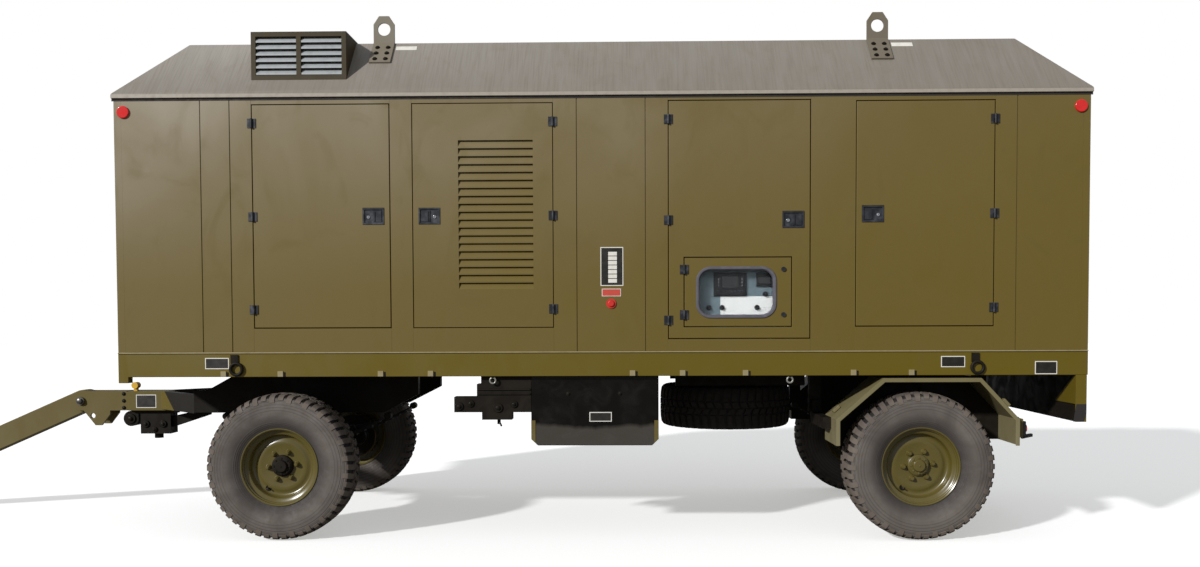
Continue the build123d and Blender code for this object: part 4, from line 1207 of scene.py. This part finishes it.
@dataclass
class RearTrim:
    """Tabs on the mudguards' slopes and the rubber blocks at the bumper's ends."""

    tab: Corner = (0.060, 0.050, 0.022)
    slopes_mm: tuple[tuple[float, float, float, float], ...] = ((1690, 1010, 899, 41.4), (2812, 1205, 957, -47.2))
    block_height: float = 0.123

    def build(self) -> None:
        """Make the pieces of each side."""
        post_low, post_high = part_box("rear_brackets")
        for side, sign in SIDES:
            shape = Shape(f"mudguard_tabs_{side}", (GUARD_PAINT,))
            for x_mm, y_mm, z_mm, lean in self.slopes_mm:
                turn = Matrix.Rotation(math.radians(-lean), 3, "Y")
                centre = at(x_mm, sign * y_mm, z_mm)
                along, out = turn @ Vector((1, 0, 0)), turn @ Vector((0, 0, 1))
                corners = [
                    centre + along * (a * self.tab[0] / 2) + out * (b * self.tab[2])
                    for a, b in ((-1, 0), (1, 0), (1, 1), (-1, 1))
                ]
                near, far = sorted((centre.y - self.tab[1] / 2, centre.y + self.tab[1] / 2))
                shape.prism(Line.Y, [(c.x, c.z) for c in corners], near, far)
            shape.piece("housing_and_frame", "olive_paint", ease_mm=3)
            block = Shape(f"bumper_end_block_{side}", (DARK_RUBBER_AND_GROOVE_SHADE,))
            near, far = sorted((sign * 1.2535, sign * 1.2495))
            outline = [(post_high.x - 0.001, post_low.z + self.block_height), (post_high.x - 0.001, post_low.z + 0.060)]
            outline += [(post_high.x - 0.020, post_low.z + 0.002), (post_high.x - 0.090, post_low.z + 0.002)]
            outline += [(post_high.x - 0.070, post_low.z + self.block_height)]
            block.prism(Line.Y, outline, near, far)
            block.piece("housing_and_frame", "trim_black", ease_mm=1)


@dataclass
class WindowTrim:
    """The hatch's window: a rounded grey gasket round a clear pane."""

    left: float = 673
    right: float = 1225
    low: float = 1557
    high: float = 1910
    corner: float = 100
    rim: float = 24
    thickness: float = 0.030

    def ring(self, inset: float, steps: int = 10) -> list[Point]:
        """Rounded outline, inset from the hatch's cut-out.

        Args:
            inset: How far inside the cut-out it runs, in millimetres.
            steps: How many sides a corner has.

        Returns:
            Its points on X and Z, in metres.
        """
        radius = self.corner - inset
        points = []
        corners = (
            (self.right - self.corner, self.high - self.corner, 0),
            (self.left + self.corner, self.high - self.corner, 90),
            (self.left + self.corner, self.low + self.corner, 180),
            (self.right - self.corner, self.low + self.corner, 270),
        )
        for x, z, start in corners:
            for step in range(steps + 1):
                angle = math.radians(start + 90 * step / steps)
                spot = at(x + radius * math.cos(angle), 0, z + radius * math.sin(angle))
                points.append((spot.x, spot.z))
        return points

    def build(self) -> None:
        """Make the gasket and the pane."""
        shape = Shape("hatch_window_gasket", (GASKET,))
        face = WALL_FACE
        loops = ((-3, face - 0.002), (2, face - 0.008), (14, face - 0.008), (22, face - 0.001), (self.rim, face + 0.006))
        loops += ((self.rim, face + 0.026), (0, face + 0.030), (-3, face + 0.0005))
        rings = [[shape.mesh.verts.new((x, y, z)) for x, z in self.ring(inset)] for inset, y in loops]
        for place, near in enumerate(rings):
            far = rings[(place + 1) % len(rings)]
            for corner in range(len(near)):
                after = (corner + 1) % len(near)
                shape.face((near[corner], near[after], far[after], far[corner]), 0)
        shape.piece("hatch", "window_pane", ("hatch_window",))
        pane = Shape("hatch_window_pane", (PANE,))
        pane.prism(Line.Y, self.ring(self.rim - 3), face + 0.012, face + 0.018)
        pane.piece("hatch", "window_pane")


@dataclass
class ControlPanel:
    """The controller, breaker and knobs on the cabinet's face, behind the hatch."""

    face: float = -1.150

    def build(self) -> bpy.types.Object:
        """Make the panel's instruments in place of their plain CAD form.

        Returns:
            The instruments.
        """
        shape = Shape("panel_controls", (BLACK_TRIM, SCREEN, CHROME, GREY_TRIM, WHITE_PLATE_AS_PAINTED_HIGHLIGHT))
        low, high = at(798, 0, 1709), at(1029, 0, 1873)
        face = self.face
        shape.block((low.x, face - 0.012, low.z), (high.x, face, high.z), 0)
        shape.block((low.x + 0.010, face - 0.025, low.z + 0.010), (high.x - 0.010, face - 0.012, high.z - 0.010), 0)
        shape.block((low.x + 0.060, face - 0.0265, low.z + 0.062), (high.x - 0.060, face - 0.0245, high.z - 0.026), 1)
        for button in range(7):
            x = low.x + 0.030 + button * 0.0285
            seat = Vector((x, face - 0.025, low.z + 0.034))
            shape.rod(seat, seat + Vector((0, -0.004, 0)), 0.008, 14, 3)
        for row in range(3):
            for x in (low.x + 0.034, high.x - 0.034):
                seat = Vector((x, face - 0.025, low.z + 0.075 + row * 0.022))
                shape.rod(seat, seat + Vector((0, -0.003, 0)), 0.004, 10, 2)
        # Painted highlight: a white plate on the lower right stands in for the bright patch of sun and reflection, with
        # the blue-grey round it as painted shade
        low, high = at(846, 0, 1540), at(1240, 0, 1708)
        shape.block((low.x, face - 0.002, low.z), (high.x, face, high.z), 4)
        low, high = at(1097, 0, 1777), at(1206, 0, 1871)
        shape.block((low.x, face - 0.014, low.z), (high.x, face, high.z), 0)
        shape.block((low.x + 0.012, face - 0.020, low.z + 0.018), (high.x - 0.012, face - 0.014, high.z - 0.030), 1)
        for x_mm, z_mm in ((767, 1630), (858, 1630), (1103, 1630), (1160, 1724)):
            seat = at(x_mm, 0, z_mm)
            seat.y = face
            shape.rod(seat, seat + Vector((0, -0.006, 0)), 0.0185, 24, 3)
            shape.rod(seat, seat + Vector((0, -0.022, 0)), 0.0145, 20, 0)
            grip = ((seat.x - 0.003, face - 0.026, seat.z - 0.014), (seat.x + 0.003, face - 0.020, seat.z + 0.014))
            shape.block(*grip, 0)
        return shape.piece("housing_and_frame", "trim_black", ("panel_instruments",), ease_mm=0.8)


@dataclass
class SkirtTrim:
    """Tie tabs along the lower edge of each side beam: a pale olive tab as a painted highlight, with a dark block
    beside it as its painted shadow.
    """

    tabs_mm: tuple[float, ...] = (-2622, -2222, -1521, -1172, 233, 580, 1015, 1760, 2159)
    rings_mm: Point = (-744, 1322)
    ring_y_mm: float = 1230
    ring_z_mm: float = 1127

    def build(self) -> None:
        """Make the tabs of each side."""
        for side, sign in SIDES:
            shape = Shape(f"skirt_tie_tabs_{side}", (EDGE_HIGHLIGHT_PAINT, CHASSIS))
            face = SKIRT_LOW.y if sign < 0 else SKIRT_HIGH.y
            for x_mm in self.tabs_mm:
                x = at(x_mm, 0, 0).x
                low, high = sorted((face + sign * 0.004, face - sign * 0.002))
                shape.block((x - 0.022, low - 0.003 * (sign < 0), 1.159), (x + 0.016, high + 0.003 * (sign > 0), 1.197), 0)
                # Painted shadow: this dark block right of each tab stands in for the shadow that the tab casts
                shape.block((x + 0.018, low, 1.158), (x + 0.031, high, 1.190), 1)
            shape.piece("housing_and_frame", "olive_paint", ease_mm=1.0)
            # Painted highlight: a pale strip along the beam's top edge stands in for the edge catching the sun
            edge = Shape(f"skirt_edge_highlight_strip_{side}", (EDGE_HIGHLIGHT_PAINT,))
            low, high = sorted((face + sign * 0.0090, face - sign * 0.001))
            ends = (SKIRT_LOW.x + 0.001, SKIRT_HIGH.x - 0.001)
            edge.block((ends[0], low, SKIRT_HIGH.z - 0.010), (ends[1], high, SKIRT_HIGH.z - 0.001))
            edge.piece("housing_and_frame", "olive_paint", ease_mm=1.5)
            rings = Shape(f"hose_rings_{side}", (RING_GREY,))
            for x_mm in self.rings_mm:
                middle = at(x_mm, sign * self.ring_y_mm, self.ring_z_mm)
                rings.turned(self.ring_profile(), middle, Vector((0, 1, 0)), 32, closed=True)
            rings.piece("housing_and_frame", "bare_steel")
        low, high = ROOF_LOW, ROOF_HIGH
        # Two strips round the roof's edge: a dark one under the eave that is partly a rubber seal and partly painted
        # shadow, and a pale one on the eave's fold as a painted highlight
        for name, finish, inset, z0, z1 in (
            ("eave_seal_and_painted_shadow", DARK_RUBBER_AND_GROOVE_SHADE, 0.0015, low.z - 0.017, low.z + 0.001),
            ("eave_fold", EAVE_HIGHLIGHT_PAINT, -0.0015, low.z + 0.003, low.z + 0.026),
        ):
            shape = Shape(name, (finish,))
            for sign in (-1, 1):
                face = high.y - inset if name == "eave_fold" else -WALL_FACE + inset
                near, far = sorted((sign * face, sign * (face - 0.003)))
                shape.block((low.x + 0.002, near, z0), (high.x - 0.002, far, z1))
            shape.piece("housing_and_frame", "trim_black")

    def ring_profile(self) -> list[Point]:
        """Round section of a small ring.

        Returns:
            Distances along its axis and radii.
        """
        turns = [math.tau * step / 12 for step in range(12)]
        return [(0.0064 * math.cos(turn), 0.020 + 0.0064 * math.sin(turn)) for turn in turns]


@dataclass
class TankTrim:
    """Olive end caps and two bolts on the tank, and fittings on the valve carrier."""

    cap: float = 0.030
    painted_light_top: float = 0.845

    def build(self) -> None:
        """Make the tank's trim and the valve carrier's fittings."""
        low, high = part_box("fuel_tank")
        face = low.y
        shape = Shape("tank_end_caps", (UNDER_PAINT, CHASSIS))
        chamfer = 0.045
        # Painted light: the olive caps reach only up to this height, where the ends are lit; above it they stay black
        # as painted shade under the skirt
        for end, x in ((-1, low.x), (1, high.x)):
            inner = x - end * self.cap
            outline = ((x, self.painted_light_top), (x, low.z + chamfer), (x - end * 0.028, low.z + 0.018))
            outline += ((inner, low.z + 0.018), (inner, self.painted_light_top))
            shape.prism(Line.Y, outline, face - 0.0035, face + 0.002, 0)
        for x in (low.x + 0.26, high.x - 0.27):
            shape.bolt(Vector((x, face, high.z - 0.125)), Vector((0, -1, 0)), 0.022, 1)
        shape.piece("housing_and_frame", "olive_paint", ease_mm=1.5)
        rail_low, rail_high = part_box("brake_valve_rail")
        shape = Shape("brake_valve_fittings", (CHASSIS, STEEL, BLACK_TRIM))
        front = rail_low.y
        for x_mm, z_mm, size in ((-985, 945, 0.030), (-905, 965, 0.026), (-712, 935, 0.034), (-600, 960, 0.026)):
            seat = at(x_mm, 0, z_mm)
            seat.y = front
            shape.rod(seat, seat + Vector((0, -0.012, 0)), size, 20, 0)
            shape.bolt(seat + Vector((0, -0.011, 0)), Vector((0, -1, 0)), size * 0.9, 0)
        for z_mm in (1030, 1062):
            start, end = at(-855, 0, z_mm), at(-485, 0, z_mm)
            start.y = end.y = front - 0.004
            shape.rod(start, end, 0.006, 10, 0)
        handle = at(-712, 0, 835)
        handle.y = front + 0.055
        shape.rod(handle, handle + Vector((0.020, -0.030, -0.030)), 0.007, 10, 1)
        shape.piece("housing_and_frame", "black_paint")


@dataclass
class DrawbarTrim:
    """Flange bolts, the pivot's nut and the brake linkage below the nose."""

    pivot_mm: Point = (-4218, 908)
    flange_mm: float = -3846

    def build(self) -> None:
        """Make the turntable's share of the drawbar's small pieces."""
        shape = Shape("drawbar_bolts", (CHASSIS, STEEL))
        for sign in (-1, 1):
            out = Vector((0, sign, 0))
            pivot = at(self.pivot_mm[0], sign * 106, self.pivot_mm[1])
            shape.bolt(pivot, out, 0.046, 1)
            for z_mm in (852, 908, 964):
                bolt = at(self.flange_mm - 22, sign * 90, z_mm)
                shape.bolt(bolt, out, 0.022, 0)
        shape.piece("turntable", "bare_steel")
        unit = Shape("brake_linkage", (CHASSIS, STEEL, BLACK_TRIM))
        roller = at(-3826, 0, 762)
        for sign in (-1, 1):
            seat = roller + Vector((0, sign * 0.060, 0))
            unit.rod(seat, seat + Vector((0, sign * 0.012, 0)), 0.040, 24, 0)
            unit.bolt(seat + Vector((0, sign * 0.011, 0)), Vector((0, sign, 0)), 0.034, 0)
        for x_mm, z_mm, radius in ((-3700, 720, 0.030), (-3560, 720, 0.030), (-3630, 675, 0.022)):
            seat = at(x_mm, -70, z_mm)
            unit.rod(seat, seat + Vector((0, -0.014, 0)), radius, 20, 0)
            unit.bolt(seat + Vector((0, -0.013, 0)), Vector((0, -1, 0)), radius * 0.9, 0)
        arm = (at(-3515, 0, 720), at(-3200, 0, 806))
        outline = ((arm[0].x, arm[0].z - 0.035), (arm[1].x, arm[1].z - 0.018), (arm[1].x, arm[1].z + 0.040))
        outline += ((arm[0].x, arm[0].z + 0.055),)
        unit.prism(Line.Y, outline, -0.028, 0.028, 0)
        unit.piece("turntable", "black_paint", ease_mm=1.5)


@dataclass
class RearLamp:
    """The lamp unit behind each rear mudguard, on a short bracket."""

    x_mm: float = 2905

    def build(self) -> None:
        """Make one lamp unit on each side."""
        for side, sign in SIDES:
            shape = Shape(f"rear_lamp_{side}", (UNDER_PAINT, BLACK_TRIM, RED_LENS))
            near, far = sorted((sign * 1.205, sign * 1.130))
            base = at(self.x_mm, 0, 720)
            shape.block((base.x - 0.001, near, base.z), (base.x + 0.038, far, base.z + 0.130), 0)
            shape.block((base.x + 0.036, near - 0.0, base.z + 0.012), (base.x + 0.058, far, base.z + 0.112), 1)
            seat = Vector((base.x + 0.058, (near + far) / 2, base.z + 0.062))
            shape.turned(((0, 0.032), (0.008, 0.031), (0.013, 0.024), (0.015, 0)), seat, Vector((1, 0, 0)), 24, 2)
            arm = ((base.x + 0.040, base.z - 0.012), (base.x + 0.112, base.z + 0.004), (base.x + 0.112, base.z + 0.024))
            arm += ((base.x + 0.040, base.z + 0.014),)
            shape.prism(Line.Y, arm, near + 0.02, far - 0.02, 1)
            shape.piece("housing_and_frame", "olive_paint", ease_mm=1.5)


@dataclass
class AxleTrim:
    """Brake chambers, their push rods and air pipes behind an axle."""

    name: str
    axle_x: float
    body: str

    def build(self) -> bpy.types.Object:
        """Make the pieces on both ends of the axle.

        Returns:
            The axle's trim.
        """
        shape = Shape(self.name, (CHASSIS, STEEL, BLACK_TRIM))
        for sign in (-1, 1):
            start = Vector((self.axle_x + 0.150, sign * 0.42, 0.560))
            line = Vector((0, sign, 0))
            can = ((0, 0), (0, 0.058), (0.010, 0.070), (0.050, 0.074), (0.054, 0.082), (0.066, 0.082), (0.070, 0.074))
            can += ((0.110, 0.068), (0.122, 0.050), (0.124, 0))
            shape.turned(can, start, line, 32, 0)
            shape.rod(start + line * 0.12, start + line * 0.30, 0.009, 12, 1)
            shape.block(
                (self.axle_x + 0.055, min(sign * 0.44, sign * 0.52), 0.505),
                (self.axle_x + 0.160, max(sign * 0.44, sign * 0.52), 0.530),
            )
            shape.rod(Vector((self.axle_x + 0.150, sign * 0.715, 0.560)), Vector((self.axle_x, sign * 0.715, 0.530)), 0.014)
            pipe = [start + Vector((0, 0, 0.060)), start + Vector((-0.02, sign * -0.06, 0.11))]
            pipe += [Vector((self.axle_x + 0.05, sign * 0.25, 0.64)), Vector((self.axle_x + 0.02, sign * 0.06, 0.60))]
            shape.tube(pipe, 0.007, 10, 2)
        return shape.piece(self.body, "black_paint")


@dataclass
class AcousticLiner:
    """Foam liner panels inside the housing's walls, seen when the doors stand open."""

    thickness: float = 0.025

    def build(self) -> bpy.types.Object:
        """Make the far and end liners.

        Returns:
            The liners.
        """
        shape = Shape("acoustic_liner", (LINER,))
        wall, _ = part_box("far_wall")
        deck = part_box("floor_deck")[1].z
        top = ROOF_LOW.z
        inner = wall.y - 0.001
        start, end = at(-3300, 0, 0).x, at(3300, 0, 0).x
        count = 8
        step = (end - start) / count
        for place in range(count):
            low = (start + place * step + 0.006, inner - self.thickness, deck + 0.02)
            shape.block(low, (start + (place + 1) * step - 0.006, inner, top - 0.03))
        for x, sign in ((start - 0.014, 1), (end + 0.014, -1)):
            for half in (-1, 1):
                near, far = sorted((x, x + sign * self.thickness))
                low, high = sorted((half * 0.010, half * 1.160))
                shape.block((near, low, deck + 0.02), (far, high, top - 0.03))
        return shape.piece("housing_and_frame", "trim_black", ease_mm=4)


@dataclass
class Studio:
    """The camera at the photograph's angle, the pale floor, the sun and the sky."""

    camera_place: Corner = (186, -8823, 1545)
    lens_mm: float = 32.78
    shift: Point = (-0.00575, 0.06425)
    pitch: float = -2.12
    roll: float = -0.20
    yaw: float = 1.01
    sun_strength: float = 3.5
    sun_run: Corner = (0.75, 0.85, -0.52)
    sky_strength: float = 0.45

    def camera(self) -> None:
        """Make the camera."""
        data = bpy.data.cameras.new("camera")
        data.lens = self.lens_mm
        data.shift_x, data.shift_y = self.shift
        data.clip_end = 200
        made = bpy.data.objects.new("camera", data)
        turn = Matrix.Rotation(math.radians(self.yaw), 4, "Z") @ Matrix.Rotation(math.radians(90 + self.pitch), 4, "X")
        turn = turn @ Matrix.Rotation(math.radians(self.roll), 4, "Z")
        made.matrix_world = Matrix.Translation(at(*self.camera_place)) @ turn
        bpy.context.scene.collection.objects.link(made)
        bpy.context.scene.camera = made

    def floor(self) -> None:
        """Make a white floor that shows only the object's shadow."""
        mesh = bmesh.new()
        size = 60.0
        corners = [mesh.verts.new((x, y, -0.0005)) for x, y in ((-size, -size), (size, -size), (size, size), (-size, size))]
        mesh.faces.new(corners)
        data = bpy.data.meshes.new("floor")
        mesh.to_mesh(data)
        mesh.free()
        floor = bpy.data.objects.new("floor", data)
        bpy.context.scene.collection.objects.link(floor)
        material = bpy.data.materials.new("white_floor")
        material.use_nodes = True
        tree = material.node_tree
        tree.nodes.clear()
        paper = add(tree, "ShaderNodeBsdfDiffuse", {"Color": linear("#e7e7e7")})
        glow = add(tree, "ShaderNodeEmission", {"Color": linear("#fffefa"), "Strength": 0.43})
        seen = add(tree, "ShaderNodeAddShader", {0: paper.outputs[0], 1: glow.outputs[0]})
        bounce = add(tree, "ShaderNodeBsdfDiffuse", {"Color": linear("#83807a")})
        eye = add(tree, "ShaderNodeLightPath")
        mixed = {0: eye.outputs["Is Camera Ray"], 1: bounce.outputs[0], 2: seen.outputs[0]}
        add(tree, "ShaderNodeOutputMaterial", {"Surface": add(tree, "ShaderNodeMixShader", mixed).outputs[0]})
        data.materials.append(material)

    def light(self) -> None:
        """Make the sun and the sky."""
        sun = bpy.data.lights.new("sun", "SUN")
        sun.energy = self.sun_strength
        sun.angle = math.radians(3)
        lamp = bpy.data.objects.new("sun", sun)
        lamp.rotation_euler = Vector(self.sun_run).to_track_quat("-Z", "Y").to_euler()
        bpy.context.scene.collection.objects.link(lamp)
        world = bpy.data.worlds.new("sky")
        world.use_nodes = True
        bpy.context.scene.world = world
        tree = world.node_tree
        tree.nodes.clear()
        eye = add(tree, "ShaderNodeLightPath")
        first = add(tree, "ShaderNodeMath", {0: eye.outputs["Is Camera Ray"], 1: eye.outputs["Is Transmission Ray"]}, operation="MAXIMUM")
        sky = add(tree, "ShaderNodeBackground", {"Color": linear("#e9edf4"), "Strength": self.sky_strength})
        white = add(tree, "ShaderNodeBackground", {"Color": linear("#ffffff"), "Strength": 1.0})
        mixed = add(tree, "ShaderNodeMixShader", {0: first.outputs[0], 1: sky.outputs[0], 2: white.outputs[0]})
        add(tree, "ShaderNodeOutputWorld", {"Surface": mixed.outputs[0]})

    def build(self) -> None:
        """Set the whole studio up."""
        self.camera()
        self.floor()
        self.light()
        bpy.context.scene.view_settings.view_transform = "Standard"


@dataclass
class RunningGear:
    """Wheels, springs and axle trim of both axles, and the spare wheel."""

    axles_mm: tuple[tuple[str, float, str], ...] = (
        ("front", -2258, "turntable"),
        ("rear", 2237, "housing_and_frame"),
    )
    wheel_y: float = 1.0825
    wheel_z: float = 0.518
    spare_mm: Corner = (980, 0, 867.5)

    def build(self) -> None:
        """Make everything that rolls or carries."""
        for position, x_mm, carrier in self.axles_mm:
            axle_x = at(x_mm, 0, 0).x
            LeafSprings(f"leaf_springs_{position}", axle_x, carrier, f"{position}_springs").build()
            AxleTrim(f"brake_chambers_{position}", axle_x, carrier).build()
            for side, sign in SIDES:
                centre = Vector((axle_x, sign * self.wheel_y, self.wheel_z))
                body = f"wheel_{position}_{side}"
                out = Vector((0, sign, 0))
                Tyre(f"off_road_tyre_{position}_{side}", centre, out, body, f"tyre_{position}_{side}").build()
                name = f"pressed_wheel_{position}_{side}"
                RoadWheel(name, centre, out, body, f"rim_{position}_{side}", position == "rear").build()
        up = Vector((0, 0, 1))
        Tyre("off_road_tyre_spare", at(*self.spare_mm), up, "housing_and_frame", "spare_tyre").build()


@dataclass
class Housing:
    """Latches, plates, window and trim of the housing."""

    latches_mm: tuple[tuple[str, float, float, int], ...] = (
        ("door_1", -1563, 2270, 1),
        ("door_2", -1174, 2270, -1),
        ("door_3", 1341, 2234, 1),
        ("door_4", 1886, 2270, -1),
    )

    def build(self) -> None:
        """Make the housing's small pieces."""
        for door, x_mm, z_mm, opens_to in self.latches_mm:
            spot = at(x_mm, 0, z_mm)
            DoorLatch(f"paddle_latch_{door}", door, spot.x, spot.z, opens_to).build()
        frame_body = "housing_and_frame"
        wall, skirt = WALL_FACE * 1000, SKIRT_LOW.y * 1000
        Plate("level_scale_plate", frame_body, at(10, wall, 1782), at(168, wall, 2050), bars=7).build()
        Plate("stop_plate", frame_body, at(19, wall, 1710), at(151, wall, 1763), PLATE_RED, 0.004).build()
        for place, (x0, x1, z0, z1) in enumerate(
            ((-2753, -2586, 1213, 1291), (2358, 2523, 1213, 1290), (3002, 3154, 1163, 1253))
        ):
            Plate(f"skirt_plate_{place + 1}", frame_body, at(x0, skirt, z0), at(x1, skirt, z1)).build()
        Plate("nose_plate", "turntable", at(-3760, -110, 852), at(-3597, -110, 959)).build()
        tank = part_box("fuel_tank")[0].y * 1000
        Plate("tank_plate", frame_body, at(-72, tank, 836), at(84, tank, 903)).build()
        WindowTrim().build()
        ControlPanel().build()
        LiftingEyeTrim().build()
        OutletSlats().build()
        RearTrim().build()
        SkirtTrim().build()
        AcousticLiner().build()


def dress_frame() -> None:
    """Give every CAD node that still shows its finish and eased edges."""
    slots = {part["node"]: part["material_slot"] for part in frame["record"]["subparts"]}
    for name, node in frame["nodes"].items():
        finish = NODE_FINISHES.get(name, SLOT_FINISHES[slots[name]])
        node.data.materials.clear()
        node.data.materials.append(finish.material())
        if name in EASED_NODES:
            weld = node.modifiers.new("welded_corners", "WELD")
            weld.merge_threshold = 0.00005
            ease_edges(node, EASED_NODES[name])
        LOG.info("%s: %s", name, finish.name)


def main() -> None:
    """Build the sub-assemblies in order."""
    logging.basicConfig(level=logging.INFO, format="%(message)s")
    Studio().build()
    dress_frame()
    Housing().build()
    RunningGear().build()
    TankTrim().build()
    DrawbarTrim().build()
    RearLamp().build()


if __name__ == "__main__":
    main()
